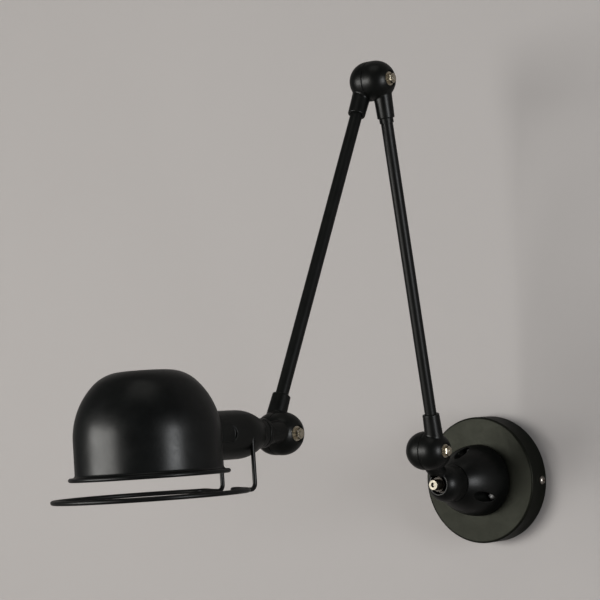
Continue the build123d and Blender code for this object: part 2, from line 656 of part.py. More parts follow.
def shade_blank(grow):
    """Solid inside the shade's outer face moved out by grow, rim at Z = 0."""
    wall = SHADE_RADIUS + grow
    shoulder = SHADE_SHOULDER_RADIUS + grow
    crown = SHADE_CROWN_RADIUS + grow
    slope = math.sqrt(0.5)
    shoulder_x = SHADE_RADIUS - SHADE_SHOULDER_RADIUS
    change = (shoulder_x + shoulder * slope, SHADE_STRAIGHT + shoulder * slope)
    crown_x = change[0] - crown * slope
    top = change[1] - crown * slope + crown
    return lathe(
        Line((0, 0), (wall, 0)),
        Line((wall, 0), (wall, SHADE_STRAIGHT)),
        TangentArc((wall, SHADE_STRAIGHT), change, tangent=(0, 1)),
        TangentArc(change, (crown_x, top), tangent=(-1, 1)),
        Line((crown_x, top), (0, top)),
        Line((0, top), (0, 0)),
    )


def on_axis(shape):
    """Place a shape made along Z on the head's axis, in the head's frame."""
    return OUT * shape


def shade_in_head(grow):
    """The shade's blank in the head's frame."""
    return Pos(0, -SHADE_DISTANCE, -SHADE_DROP) * shade_blank(grow)


def housing():
    """Lamp-holder housing, its front cut to lie on the shade."""
    back, shoulder = HOUSING_BACK, HOUSING_BACK + HOUSING_SHOULDER
    step = back + HOUSING_BACK_LENGTH
    front = SHADE_DISTANCE
    body = lathe(
        Line((0, back), (HEAD_FLANGE_RADIUS, back)),
        Line((HEAD_FLANGE_RADIUS, back), (HOUSING_BACK_RADIUS, step)),
        TangentArc((HOUSING_RADIUS, shoulder), (HOUSING_BACK_RADIUS, step), tangent=(0, -1)),
        Line((HOUSING_RADIUS, shoulder), (HOUSING_RADIUS, front)),
        Line((HOUSING_RADIUS, front), (0, front)),
        Line((0, front), (0, back)),
    )
    inner = HOUSING_INNER
    narrow = HEAD_FLANGE_RADIUS - HOUSING_CAVITY_EDGE
    widened = SOCKET_BACK - HOUSING_STEP_GAP
    body -= turned((0, inner), (narrow, inner), (HOUSING_REAR_BORE, inner + HOUSING_TAPER),
                   (HOUSING_REAR_BORE, widened), (HOUSING_FRONT_BORE, widened),
                   (HOUSING_FRONT_BORE, front), (0, front))
    body -= rod(PIVOT_TUBE_RADIUS + SEAT_GAP, 0, inner)
    body = on_axis(body) - shade_in_head(SEAT_GAP)
    for side in (-1, 1):
        body -= grip(side)
        body -= Pos(side * GUARD_HALF_GAP, -GUARD_LEG_PLACE, 0) * rod(
            GUARD_ROD_RADIUS + SEAT_GAP, -HOUSING_RADIUS, -GUARD_LEG_TOP)
    return body


def grip(side):
    """Shallow round-ended slot in one side of the housing, running out at the shade."""
    length = GRIP_BACK
    outline = Rectangle(length, 2 * GRIP_HALF_WIDTH) + Pos(length / 2, 0) * Circle(GRIP_HALF_WIDTH)
    centre = SHADE_DISTANCE - GRIP_BACK + GRIP_HALF_WIDTH + length / 2
    floor = side * (HOUSING_RADIUS - GRIP_DEPTH)
    face = Plane(origin=(floor, -centre, GRIP_RISE), x_dir=(0, 1, 0), z_dir=(side, 0, 0))
    return face * extrude(outline, HOUSING_RADIUS)


def socket_body():
    """Ceramic lamp socket."""
    shell_outer = BULB_CAP_RADIUS + SHAFT_GAP + SHELL_WALL + SEAT_GAP
    body = rod(SOCKET_BOSS_RADIUS, SOCKET_BOSS_START, SOCKET_BACK)
    body += rod(SOCKET_RADIUS, SOCKET_BACK, SOCKET_FRONT)
    body -= rod(PIVOT_TUBE_RADIUS + SEAT_GAP, 0, SOCKET_BOSS_START + SOCKET_BOSS_DEPTH)
    body -= rod(LEAD_PASSAGE_RADIUS, 0, SOCKET_BACK)
    body -= rod(shell_outer, SOCKET_FLOOR, SOCKET_MOUTH)
    return body - rod(SOCKET_MOUTH_RADIUS, SOCKET_MOUTH, SOCKET_FRONT)


def socket_shell():
    """Threaded metal shell of the socket."""
    inner = BULB_CAP_RADIUS + SHAFT_GAP
    return ring(inner + SHELL_WALL, inner, SOCKET_FLOOR + SHELL_STEP, SOCKET_MOUTH)


def socket_contact():
    """Centre contact on the socket's floor."""
    return rod(CONTACT_RADIUS, SOCKET_FLOOR, CONTACT_FACE)


def bulb_glass():
    """Round bulb envelope, open at its neck."""
    def envelope(wall):
        ball = Pos(0, 0, SHADE_DISTANCE) * Sphere(BULB_RADIUS - wall)
        neck = Pos(0, 0, BULB_CAP_END) * Cone(
            BULB_NECK_RADIUS - wall, BULB_NECK_TOP_RADIUS - wall, BULB_NECK_LENGTH,
            align=(Align.CENTER, Align.CENTER, Align.MIN))
        return ball + neck

    return envelope(0) - envelope(BULB_GLASS_WALL)


def bulb_cap():
    """Screw cap of the bulb with its centre tip."""
    end = BULB_CAP_END
    rim = end - BULB_CAP_RIM
    start = end - BULB_CAP_LENGTH
    rim_radius = BULB_NECK_RADIUS + BULB_CAP_WALL
    body = turned((0, start - BULB_TIP_HEIGHT), (BULB_TIP_RADIUS, start - BULB_TIP_HEIGHT),
                  (BULB_TIP_RADIUS, start), (BULB_CAP_RADIUS, start + BULB_CAP_STEP), (BULB_CAP_RADIUS, rim),
                  (rim_radius, rim + BULB_RIM_STEP), (rim_radius, end), (0, end))
    return body - rod(BULB_CAP_RADIUS - BULB_CAP_WALL, start + BULB_CAP_FLOOR, end)


def shade():
    """Spun shade with a beaded rim and a side hole for the socket."""
    bead = SHADE_LIP_RADIUS - SHADE_BEAD_RADIUS
    body = shade_blank(0) + rod(bead, 0, SHADE_WALL)
    body += Pos(0, 0, SHADE_WALL / 2) * Torus(bead, SHADE_BEAD_RADIUS)
    body -= shade_blank(-SHADE_WALL)
    side_hole = rod(SOCKET_RADIUS + HOLE_GAP, 0, SHADE_DISTANCE)
    return body - Pos(0, SHADE_DISTANCE, SHADE_DROP) * OUT * side_hole


def clamp_ring():
    """Threaded ring on the socket, its back face following the inside of the shade."""
    reach = SHADE_RADIUS - SHADE_WALL
    near = SHADE_DISTANCE - reach
    blank = ring(CLAMP_RING_RADIUS, SOCKET_RADIUS + SEAT_GAP, near - CLAMP_RING_BACK, near + CLAMP_RING_REACH)
    return on_axis(blank) & shade_in_head(-SHADE_WALL - SEAT_GAP)


def guard_rod():
    """One bent rod: two legs, two tails and the ring round the shade."""
    gap, radius, bend, foot = GUARD_HALF_GAP, GUARD_RING_RADIUS, GUARD_RING_BEND, GUARD_FOOT_BEND
    low = -GUARD_DROP
    heel_low = low - GUARD_FOOT_SAG
    turn_y = math.sqrt((radius + bend) ** 2 - (gap + bend) ** 2) - SHADE_DISTANCE
    share = radius / (radius + bend)
    joint_x = (gap + bend) * share
    joint_y = (turn_y + SHADE_DISTANCE) * share - SHADE_DISTANCE
    heading = math.atan2(turn_y + SHADE_DISTANCE, gap + bend)
    angle = (math.pi + math.pi + heading) / 2
    middle_x = gap + bend + bend * math.cos(angle)
    middle_y = turn_y + bend * math.sin(angle)
    slope = math.sqrt(0.5)
    leg_y = -GUARD_LEG_PLACE

    def half(side):
        """Edges of one side, from the leg's top to the ring."""
        leg = Line((side * gap, leg_y, -GUARD_LEG_TOP), (side * gap, leg_y, heel_low + foot))
        heel = ThreePointArc((side * gap, leg_y, heel_low + foot),
                             (side * gap, leg_y - foot * (1 - slope), heel_low + foot * (1 - slope)),
                             (side * gap, leg_y - foot, heel_low))
        along = (0, -1, 0)
        tail_start = (side * gap, leg_y - foot, heel_low)
        tail = Spline(tail_start, (side * gap, turn_y, low), tangents=(along, along))
        corner = ThreePointArc((side * gap, turn_y, low), (side * middle_x, middle_y, low),
                               (side * joint_x, joint_y, low))
        return [leg, heel, tail, corner]

    front = (0, -SHADE_DISTANCE - radius, low)
    loop = ThreePointArc((joint_x, joint_y, low), front, (-joint_x, joint_y, low))
    path = Wire([edge.edge() for edge in half(1) + [loop] + half(-1)])
    start = Plane(origin=(gap, leg_y, -GUARD_LEG_TOP), z_dir=(0, 0, -1))
    return sweep(start * Circle(GUARD_ROD_RADIUS), path=path)


# ------------------------------------------------------------------ assembly
def wall_nodes():
    """Pieces that stay on the wall."""
    bore = STUD_RADIUS + HOLE_GAP
    ring_face = OUT * Pos(0, 0, BELL_TOP)
    return {
        "wall_bracket": OUT * wall_bracket(),
        "earth_screw": OUT * earth_screw(),
        "terminal_block": OUT * terminal_block(),
        "terminal_screws": OUT * terminal_screws(),
        "canopy": OUT * canopy(),
        "canopy_side_screws": OUT * side_screws(),
        "base_bell": OUT * bell(),
        "bell_screws": OUT * bell_screws(),
        "bell_nuts": OUT * bell_nuts(),
        "swivel_stud": OUT * swivel_stud(),
        "swivel_washer": OUT * swivel_washer(),
        "swivel_nut": OUT * swivel_nut(),
        "swivel_ring_disc": ring_face * ring_disc(bore),
        "swivel_contact_rings": ring_face * contact_rings(),
    }


def elbow_nodes():
    """Pieces that turn with the lower elbow."""
    brush_face = OUT * Pos(0, 0, CAP_START) * Location((0, 0, 0), (180, 0, 0))
    return {
        "lower_elbow": lower_elbow(),
        "swivel_brush_disc": brush_face * brush_disc(STUD_RADIUS + HOLE_GAP),
        "swivel_brushes": brush_face * brushes(SEAM_GAP),
    }


def knuckle_nodes(name, place):
    """Bolt, washer, nut and contacts of one knuckle."""
    bore = KNUCKLE_BOLT_RADIUS + HOLE_GAP
    ring_face = place * Pos(-SEAM, 0, 0) * TO_RIGHT
    brush_face = place * Pos(SEAM, 0, 0) * TO_LEFT
    return {
        name + "_knuckle_bolt": place * knuckle_bolt(),
        name + "_knuckle_washer": place * knuckle_washer(),
        name + "_knuckle_nut": place * knuckle_nut(),
        name + "_knuckle_ring_disc": ring_face * ring_disc(bore),
        name + "_knuckle_contact_rings": ring_face * contact_rings(),
        name + "_knuckle_brush_disc": brush_face * brush_disc(bore),
        name + "_knuckle_brushes": brush_face * brushes(SEAM_GAP),
    }


def arm_nodes():
    """Castings, tubes and leads of the two arms."""
    lower_line = LOWER_ARM * Pos(ARM_OFFSET, 0, 0)
    upper_line = UPPER_ARM * Pos(-ARM_OFFSET, 0, 0)
    return {
        "lower_arm_bottom_half": LOWER_ARM * right_half(),
        "lower_arm_tube": lower_line * tube(),
        "lower_arm_leads": lower_line * leads(),
        "lower_arm_ferrule": lower_line * ferrule(),
        "lower_arm_top_half": LOWER_ARM_END * right_half(),
        "upper_arm_top_half": UPPER_ARM * left_half(),
        "upper_arm_tube": upper_line * tube(),
        "upper_arm_leads": upper_line * leads(),
        "upper_arm_bottom_half": UPPER_ARM_END * left_half(),
    }


def head_nodes():
    """Head elbow and everything that turns with the housing."""
    return {
        "head_elbow": HEAD_KNUCKLE * head_elbow(),
        "pivot_tube": HEAD * on_axis(pivot_tube()),
        "pivot_nut": HEAD * on_axis(pivot_nut()),
        "lamp_housing": HEAD * housing(),
        "socket_body": HEAD * on_axis(socket_body()),
        "socket_shell": HEAD * on_axis(socket_shell()),
        "socket_contact": HEAD * on_axis(socket_contact()),
        "bulb_cap": HEAD * on_axis(bulb_cap()),
        "bulb_glass": HEAD * on_axis(bulb_glass()),
        "clamp_ring": HEAD * clamp_ring(),
        "shade": SHADE * shade(),
        "guard_rod": HEAD * guard_rod(),
    }


def main():
    """Write one STEP file per node."""
    os.makedirs("parts", exist_ok=True)
    nodes = wall_nodes() | elbow_nodes() | arm_nodes() | head_nodes()
    for name, place in (("lower", LOWER_KNUCKLE), ("middle", MIDDLE_KNUCKLE), ("head", HEAD_KNUCKLE)):
        nodes |= knuckle_nodes(name, place)
    for name, shape in nodes.items():
        export_step(shape, f"parts/{name}.step")


if __name__ == "__main__":
    main()
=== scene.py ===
"""Looks of the articulating wall lamp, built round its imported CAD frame."""

import logging
import math
from dataclasses import dataclass, field
from enum import Enum

import bpy
import numpy as np
from mathutils import Matrix, Vector


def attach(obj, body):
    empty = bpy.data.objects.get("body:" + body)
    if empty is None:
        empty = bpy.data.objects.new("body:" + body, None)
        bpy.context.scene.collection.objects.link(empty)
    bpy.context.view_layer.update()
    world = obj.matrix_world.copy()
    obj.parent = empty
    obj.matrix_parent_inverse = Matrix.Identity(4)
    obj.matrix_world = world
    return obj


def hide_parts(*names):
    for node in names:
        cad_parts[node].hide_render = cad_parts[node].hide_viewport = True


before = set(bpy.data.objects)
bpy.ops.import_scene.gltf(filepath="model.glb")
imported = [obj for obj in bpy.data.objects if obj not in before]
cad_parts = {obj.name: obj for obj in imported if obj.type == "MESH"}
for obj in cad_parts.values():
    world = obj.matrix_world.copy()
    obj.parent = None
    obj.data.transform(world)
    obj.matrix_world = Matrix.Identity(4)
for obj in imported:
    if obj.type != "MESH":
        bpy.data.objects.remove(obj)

LOG = logging.getLogger("wall_lamp")
Triple = tuple[float, float, float]
Colour = Triple
Point = tuple[float, float]
MM = 0.001


# ---------------------------------------------------------------- named choices
class Body(Enum):
    """Rigid bodies of the lamp, from the wall outwards."""

    WALL = "wall_base"
    LOWER_ELBOW = "lower_elbow"
    LOWER_ARM = "lower_arm"
    UPPER_ARM = "upper_arm"
    HEAD_ELBOW = "head_elbow"
    HEAD = "head"


class Slot(Enum):
    """Material slots of the record."""

    CASTINGS = "black_castings"
    TUBE = "black_tube"
    CANOPY = "black_canopy"
    SHADE = "black_shade"
    GUARD = "black_guard"
    NICKEL = "nickel_hardware"
    DARK = "dark_plating"
    SCREWS = "bright_screws"
    ZINC = "zinc_steel"
    TERMINAL = "terminal_plastic"
    CONTACT_PLASTIC = "contact_plastic"
    BRASS = "contact_brass"
    LEAD = "lead_insulation"
    CERAMIC = "white_ceramic"
    BULB_CAP = "bulb_cap_metal"
    GLASS = "frosted_glass"


# ---------------------------------------------------------------- node helpers
class Graph:
    """Short way of adding and linking the nodes of one tree."""

    def __init__(self, tree: bpy.types.NodeTree) -> None:
        """Take an empty node tree.

        Args:
            tree: The tree that the nodes go into.
        """
        self.tree = tree
        self.count = 0

    def add(self, kind: str, **values: object) -> bpy.types.Node:
        """Add a node and set its properties or unlinked inputs.

        Args:
            kind: Node type without the leading ShaderNode.
            values: Properties by name, or input defaults by socket name with _ for a space.

        Returns:
            The new node.
        """
        name = kind if kind.startswith("Node") else "ShaderNode" + kind
        node = self.tree.nodes.new(name)
        node.location = (200 * (self.count % 8), -220 * (self.count // 8))
        self.count += 1
        for key, value in values.items():
            if hasattr(node, key):
                setattr(node, key, value)
            else:
                node.inputs[key.replace("_", " ")].default_value = value
        return node

    def link(self, source: bpy.types.NodeSocket, target: bpy.types.NodeSocket) -> None:
        """Join an output to an input."""
        self.tree.links.new(source, target)

    def math(self, operation: str, first: object, second: object = 0.0,
             clamp: bool = False) -> bpy.types.NodeSocket:
        """Add a math node fed by sockets or numbers.

        Args:
            operation: Name of the math operation.
            first: Socket or number.
            second: Socket or number.
            clamp: Keep the result between 0 and 1.

        Returns:
            The result socket.
        """
        node = self.add("Math", operation=operation, use_clamp=clamp)
        for place, value in enumerate((first, second)):
            if isinstance(value, bpy.types.NodeSocket):
                self.link(value, node.inputs[place])
            else:
                node.inputs[place].default_value = value
        return node.outputs[0]

    def mix(self, factor: object, first: object, second: object) -> bpy.types.NodeSocket:
        """Mix two colours.

        Args:
            factor: Socket or number from 0 to 1.
            first: Socket or colour at 0.
            second: Socket or colour at 1.

        Returns:
            The mixed colour socket.
        """
        node = self.add("Mix", data_type="RGBA")
        for place, value in ((0, factor), (6, first), (7, second)):
            if isinstance(value, bpy.types.NodeSocket):
                self.link(value, node.inputs[place])
            elif place:
                node.inputs[place].default_value = (*value, 1.0)
            else:
                node.inputs[place].default_value = value
        return node.outputs[2]

    def spread(self, value: bpy.types.NodeSocket, low: float, high: float, to_low: float = 0.0,
               to_high: float = 1.0) -> bpy.types.NodeSocket:
        """Map a value from one range to another, held at the ends.

        Args:
            value: Socket to map.
            low: Start of the range read.
            high: End of the range read.
            to_low: Result at the start.
            to_high: Result at the end.

        Returns:
            The mapped socket.
        """
        node = self.add("MapRange", clamp=True)
        self.link(value, node.inputs[0])
        for place, number in enumerate((low, high, to_low, to_high), 1):
            node.inputs[place].default_value = number
        return node.outputs[0]


@dataclass(frozen=True)
class Effect:
    """A shader node group shared by several finishes, built once."""

    name: str
    inputs: tuple[tuple[str, float], ...]
    output: str

    def tree(self) -> bpy.types.NodeTree:
        """Return the group, building it at the first call."""
        found = bpy.data.node_groups.get(self.name)
        return found if found else self._build()

    def place(self, graph: Graph, **values: float) -> bpy.types.NodeSocket:
        """Put the effect in a material.

        Args:
            graph: The material's graph.
            values: Inputs by name, with _ for a space.

        Returns:
            The effect's output socket.
        """
        node = graph.add("Group", node_tree=self.tree())
        for key, value in values.items():
            node.inputs[key.replace("_", " ")].default_value = value
        return node.outputs[0]

    def _build(self) -> bpy.types.NodeTree:
        """Make the group's sockets and fill it."""
        tree = bpy.data.node_groups.new(self.name, "ShaderNodeTree")
        for title, value in self.inputs:
            socket = tree.interface.new_socket(title, in_out="INPUT", socket_type="NodeSocketFloat")
            socket.default_value = value
        tree.interface.new_socket(self.output, in_out="OUTPUT", socket_type="NodeSocketFloat")
        graph = Graph(tree)
        source = graph.add("NodeGroupInput")
        target = graph.add("NodeGroupOutput")
        graph.link(self.fill(graph, source), target.inputs[0])
        return tree

    def fill(self, graph: Graph, source: bpy.types.Node) -> bpy.types.NodeSocket:
        """Return the socket that the group puts out."""
        raise NotImplementedError


@dataclass(frozen=True)
class Mottle(Effect):
    """Slow uneven tone, as in a sprayed or plated surface."""

    name: str = "uneven_tone"
    inputs: tuple[tuple[str, float], ...] = (("Scale", 90.0), ("Detail", 4.0))
    output: str = "Tone"

    def fill(self, graph: Graph, source: bpy.types.Node) -> bpy.types.NodeSocket:
        """Noise on object coordinates, spread to the full range."""
        place = graph.add("TexCoord")
        noise = graph.add("TexNoise", Roughness=0.55)
        graph.link(place.outputs["Object"], noise.inputs["Vector"])
        graph.link(source.outputs["Scale"], noise.inputs["Scale"])
        graph.link(source.outputs["Detail"], noise.inputs["Detail"])
        return graph.spread(noise.outputs[0], 0.3, 0.7)


@dataclass(frozen=True)
class Grain(Effect):
    """Height of a fine orange peel with sparse larger grains."""

    name: str = "powder_grain"
    inputs: tuple[tuple[str, float], ...] = (("Scale", 1500.0), ("Grit", 0.35))
    output: str = "Height"

    def fill(self, graph: Graph, source: bpy.types.Node) -> bpy.types.NodeSocket:
        """Two noises and the tops of scattered cells."""
        place = graph.add("TexCoord")
        fine = graph.add("TexNoise", Detail=2.0)
        wide = graph.add("TexNoise", Detail=1.0)
        cells = graph.add("TexVoronoi", feature="SMOOTH_F1")
        for node in (fine, wide, cells):
            graph.link(place.outputs["Object"], node.inputs["Vector"])
        graph.link(source.outputs["Scale"], fine.inputs["Scale"])
        graph.link(graph.math("MULTIPLY", source.outputs["Scale"], 0.33), wide.inputs["Scale"])
        graph.link(graph.math("MULTIPLY", source.outputs["Scale"], 0.6), cells.inputs["Scale"])
        grit = graph.spread(cells.outputs["Distance"], 0.0, 0.35, 1.0, 0.0)
        grit = graph.math("MULTIPLY", grit, source.outputs["Grit"])
        both = graph.math("ADD", fine.outputs[0], graph.math("MULTIPLY", wide.outputs[0], 1.4))
        return graph.math("ADD", both, grit)


@dataclass(frozen=True)
class EdgeWearAndLight(Effect):
    """Mask of rubbed outer edges, broken up by noise; these edges are lightened both as rubbed wear and as a
    painted edge highlight.
    """

    name: str = "rubbed_and_lit_edges"
    inputs: tuple[tuple[str, float], ...] = (("Radius", 0.0006), ("Scale", 350.0), ("Amount", 1.0))
    output: str = "Mask"

    def fill(self, graph: Graph, source: bpy.types.Node) -> bpy.types.NodeSocket:
        """Compare the surface with its rounded self, and keep part of what differs."""
        place = graph.add("TexCoord")
        rounded = graph.add("Bevel", samples=4)
        graph.link(source.outputs["Radius"], rounded.inputs["Radius"])
        surface = graph.add("NewGeometry")
        turn = graph.add("VectorMath", operation="DOT_PRODUCT")
        graph.link(rounded.outputs[0], turn.inputs[0])
        graph.link(surface.outputs["Normal"], turn.inputs[1])
        edge = graph.spread(turn.outputs["Value"], 0.995, 0.9)
        noise = graph.add("TexNoise", Detail=5.0, Roughness=0.65)
        graph.link(place.outputs["Object"], noise.inputs["Vector"])
        graph.link(source.outputs["Scale"], noise.inputs["Scale"])
        broken = graph.spread(noise.outputs[0], 0.38, 0.62)
        mask = graph.math("MULTIPLY", edge, broken)
        return graph.math("MULTIPLY", mask, source.outputs["Amount"], clamp=True)


@dataclass(frozen=True)
class DustAndSheen(Effect):
    """Mask of upward faces, lightened both as faint dust and as a painted top sheen."""

    name: str = "settled_dust_and_top_sheen"
    inputs: tuple[tuple[str, float], ...] = (("Scale", 260.0), ("Amount", 0.3))
    output: str = "Mask"

    def fill(self, graph: Graph, source: bpy.types.Node) -> bpy.types.NodeSocket:
        """Upward part of the object's own normal, speckled."""
        place = graph.add("TexCoord")
        parts = graph.add("SeparateXYZ")
        graph.link(place.outputs["Normal"], parts.inputs[0])
        up = graph.spread(parts.outputs["Z"], 0.25, 0.95)
        noise = graph.add("TexNoise", Detail=6.0, Roughness=0.7)
        graph.link(place.outputs["Object"], noise.inputs["Vector"])
        graph.link(source.outputs["Scale"], noise.inputs["Scale"])
        patch = graph.spread(noise.outputs[0], 0.35, 0.75)
        return graph.math("MULTIPLY", graph.math("MULTIPLY", up, patch), source.outputs["Amount"])


@dataclass(frozen=True)
class Brushing(Effect):
    """Fine lines drawn out along one direction, for turned and plated metal."""

    name: str = "fine_lines"
    inputs: tuple[tuple[str, float], ...] = (("Scale", 900.0), ("Stretch", 0.06))
    output: str = "Lines"

    def fill(self, graph: Graph, source: bpy.types.Node) -> bpy.types.NodeSocket:
        """Noise squeezed along one axis."""
        place = graph.add("TexCoord")
        squeeze = graph.add("CombineXYZ", Y=1.0, Z=1.0)
        graph.link(source.outputs["Stretch"], squeeze.inputs["X"])
        scaled = graph.add("VectorMath", operation="MULTIPLY")
        graph.link(place.outputs["Object"], scaled.inputs[0])
        graph.link(squeeze.outputs[0], scaled.inputs[1])
        noise = graph.add("TexNoise", Detail=3.0)
        graph.link(scaled.outputs[0], noise.inputs["Vector"])
        graph.link(source.outputs["Scale"], noise.inputs["Scale"])
        return graph.spread(noise.outputs[0], 0.3, 0.7)


@dataclass(frozen=True)
class RecessShadeAndRust(Effect):
    """Mask of recesses, found by ambient occlusion: finishes darken there as painted shade, and on the screws
    it places a rust colour.
    """

    name: str = "recess_shade_and_rust"
    inputs: tuple[tuple[str, float], ...] = (("Distance", 0.0012), ("Amount", 1.0))
    output: str = "Mask"

    def fill(self, graph: Graph, source: bpy.types.Node) -> bpy.types.NodeSocket:
        """Closed-in parts of the surface."""
        closed = graph.add("AmbientOcclusion", samples=6)
        graph.link(source.outputs["Distance"], closed.inputs["Distance"])
        mask = graph.spread(closed.outputs["AO"], 0.7, 0.25)
        return graph.math("MULTIPLY", mask, source.outputs["Amount"])


MOTTLE = Mottle()
GRAIN = Grain()
EDGE_WEAR_AND_LIGHT = EdgeWearAndLight()
DUST_AND_SHEEN = DustAndSheen()
BRUSHING = Brushing()
RECESS_SHADE_AND_RUST = RecessShadeAndRust()


# ---------------------------------------------------------------- finishes
@dataclass(frozen=True)
class Finish:
    """Base of every finish: a material with one Principled shader."""

    name: str
    colour: Colour
    roughness: float

    def make(self) -> bpy.types.Material:
        """Return the finish's material, building it at the first call."""
        found = bpy.data.materials.get(self.name)
        if found:
            return found
        material = bpy.data.materials.new(self.name)
        material.use_nodes = True
        material.node_tree.nodes.clear()
        graph = Graph(material.node_tree)
        shader = graph.add("BsdfPrincipled")
        output = graph.add("OutputMaterial")
        graph.link(shader.outputs[0], output.inputs[0])
        self.fill(graph, shader)
        return material

    def fill(self, graph: Graph, shader: bpy.types.Node) -> None:
        """Feed the shader."""
        raise NotImplementedError

    def relief(self, graph: Graph, shader: bpy.types.Node, height: bpy.types.NodeSocket, depth: float,
               soften: float = 0.0) -> None:
        """Join a height to the shader's normal.

        Args:
            graph: The material's graph.
            shader: The Principled node.
            height: Height socket.
            depth: Depth of the relief in metres.
            soften: Radius in metres by which crisp edges are rounded in the light, or 0.
        """
        bump = graph.add("Bump", Strength=1.0, Distance=depth)
        graph.link(height, bump.inputs["Height"])
        if soften:
            rounded = graph.add("Bevel", samples=4, Radius=soften)
            graph.link(rounded.outputs[0], bump.inputs["Normal"])
        graph.link(bump.outputs[0], shader.inputs["Normal"])


@dataclass(frozen=True)
class PowderCoat(Finish):
    """Satin powder coat: uneven tone, fine peel, faint dust with a painted top sheen, and rubbed edges with a
    painted edge highlight.
    """

    peel: float = 0.00002
    peel_scale: float = 1500.0
    # Edge colour: rubbed wear together with a painted edge highlight.
    rubbed_and_lit: Colour = (0.06, 0.06, 0.055)
    rubbing_and_edge_light: float = 0.4
    # Upward faces: faint dust together with a painted top sheen.
    dust_and_sheen: Colour = (0.15, 0.145, 0.125)
    dust_and_sheen_amount: float = 0.03
    soften: float = 0.0
    shine: float = 0.25
    shine_tint: Colour = (1.0, 1.0, 1.0)

    def fill(self, graph: Graph, shader: bpy.types.Node) -> None:
        """Feed colour, roughness and normal."""
        shader.inputs["Specular IOR Level"].default_value = self.shine
        shader.inputs["Specular Tint"].default_value = (*self.shine_tint, 1.0)
        tone = MOTTLE.place(graph, Scale=70.0)
        lifted = tuple(1.45 * part for part in self.colour)
        wear_and_edge_light = EDGE_WEAR_AND_LIGHT.place(graph, Amount=self.rubbing_and_edge_light)
        dust_and_sheen = DUST_AND_SHEEN.place(graph, Amount=self.dust_and_sheen_amount)
        colour = graph.mix(tone, self.colour, lifted)
        # Upward faces lighten: dust and a painted top sheen.
        colour = graph.mix(dust_and_sheen, colour, self.dust_and_sheen)
        # Edges lighten: rubbed wear and a painted edge highlight.
        colour = graph.mix(wear_and_edge_light, colour, self.rubbed_and_lit)
        graph.link(colour, shader.inputs["Base Color"])
        fine = MOTTLE.place(graph, Scale=520.0, Detail=3.0)
        rough = graph.spread(tone, 0.0, 1.0, self.roughness - 0.03, self.roughness + 0.04)
        rough = graph.math("ADD", rough, graph.math("MULTIPLY", fine, 0.05))
        rough = graph.math("ADD", rough, graph.math("MULTIPLY", dust_and_sheen, 0.3))
        rough = graph.math("SUBTRACT", rough, graph.math("MULTIPLY", wear_and_edge_light, 0.12))
        graph.link(rough, shader.inputs["Roughness"])
        grain = GRAIN.place(graph, Scale=self.peel_scale)
        self.relief(graph, shader, grain, self.peel, self.soften)


@dataclass(frozen=True)
class PlatedMetal(Finish):
    """Plated or bare metal: fine lines, handled spots, and painted shade in recesses, rust-coloured on the
    screws.
    """

    # Colour of the recesses: painted shade, with a rust colour on the screws.
    shade_and_rust: Colour = (0.10, 0.07, 0.045)
    shade_and_rust_amount: float = 0.7
    reach: float = 0.0012
    line_scale: float = 900.0
    soften: float = 0.00015

    def fill(self, graph: Graph, shader: bpy.types.Node) -> None:
        """Feed colour, roughness and normal."""
        shader.inputs["Metallic"].default_value = 1.0
        tone = MOTTLE.place(graph, Scale=420.0)
        lines = BRUSHING.place(graph, Scale=self.line_scale)
        # Recesses darken towards that colour: painted shade, and rust on the screws.
        shade_and_rust = RECESS_SHADE_AND_RUST.place(graph, Distance=self.reach, Amount=self.shade_and_rust_amount)
        dull = tuple(0.78 * part for part in self.colour)
        colour = graph.mix(graph.math("MULTIPLY", tone, 0.6), self.colour, dull)
        colour = graph.mix(shade_and_rust, colour, self.shade_and_rust)
        graph.link(colour, shader.inputs["Base Color"])
        rough = graph.spread(tone, 0.0, 1.0, self.roughness - 0.05, self.roughness + 0.07)
        rough = graph.math("ADD", rough, graph.math("MULTIPLY", lines, 0.08))
        rough = graph.math("ADD", rough, graph.math("MULTIPLY", shade_and_rust, 0.3))
        graph.link(rough, shader.inputs["Roughness"])
        self.relief(graph, shader, lines, 0.000012, self.soften)


@dataclass(frozen=True)
class Moulded(Finish):
    """Moulded plastic or insulation with a faint grain."""

    soften: float = 0.0002

    def fill(self, graph: Graph, shader: bpy.types.Node) -> None:
        """Feed colour, roughness and normal."""
        tone = MOTTLE.place(graph, Scale=160.0)
        wear_and_edge_light = EDGE_WEAR_AND_LIGHT.place(graph, Amount=0.35)
        darker = tuple(0.82 * part for part in self.colour)
        paler = tuple(min(1.0, 1.25 * part + 0.02) for part in self.colour)
        colour = graph.mix(tone, self.colour, darker)
        # Edges turn paler: rubbed wear and a painted edge highlight.
        graph.link(graph.mix(wear_and_edge_light, colour, paler), shader.inputs["Base Color"])
        rough = graph.spread(tone, 0.0, 1.0, self.roughness - 0.06, self.roughness + 0.06)
        graph.link(rough, shader.inputs["Roughness"])
        grain = GRAIN.place(graph, Scale=1100.0, Grit=0.1)
        self.relief(graph, shader, grain, 0.000015, self.soften)


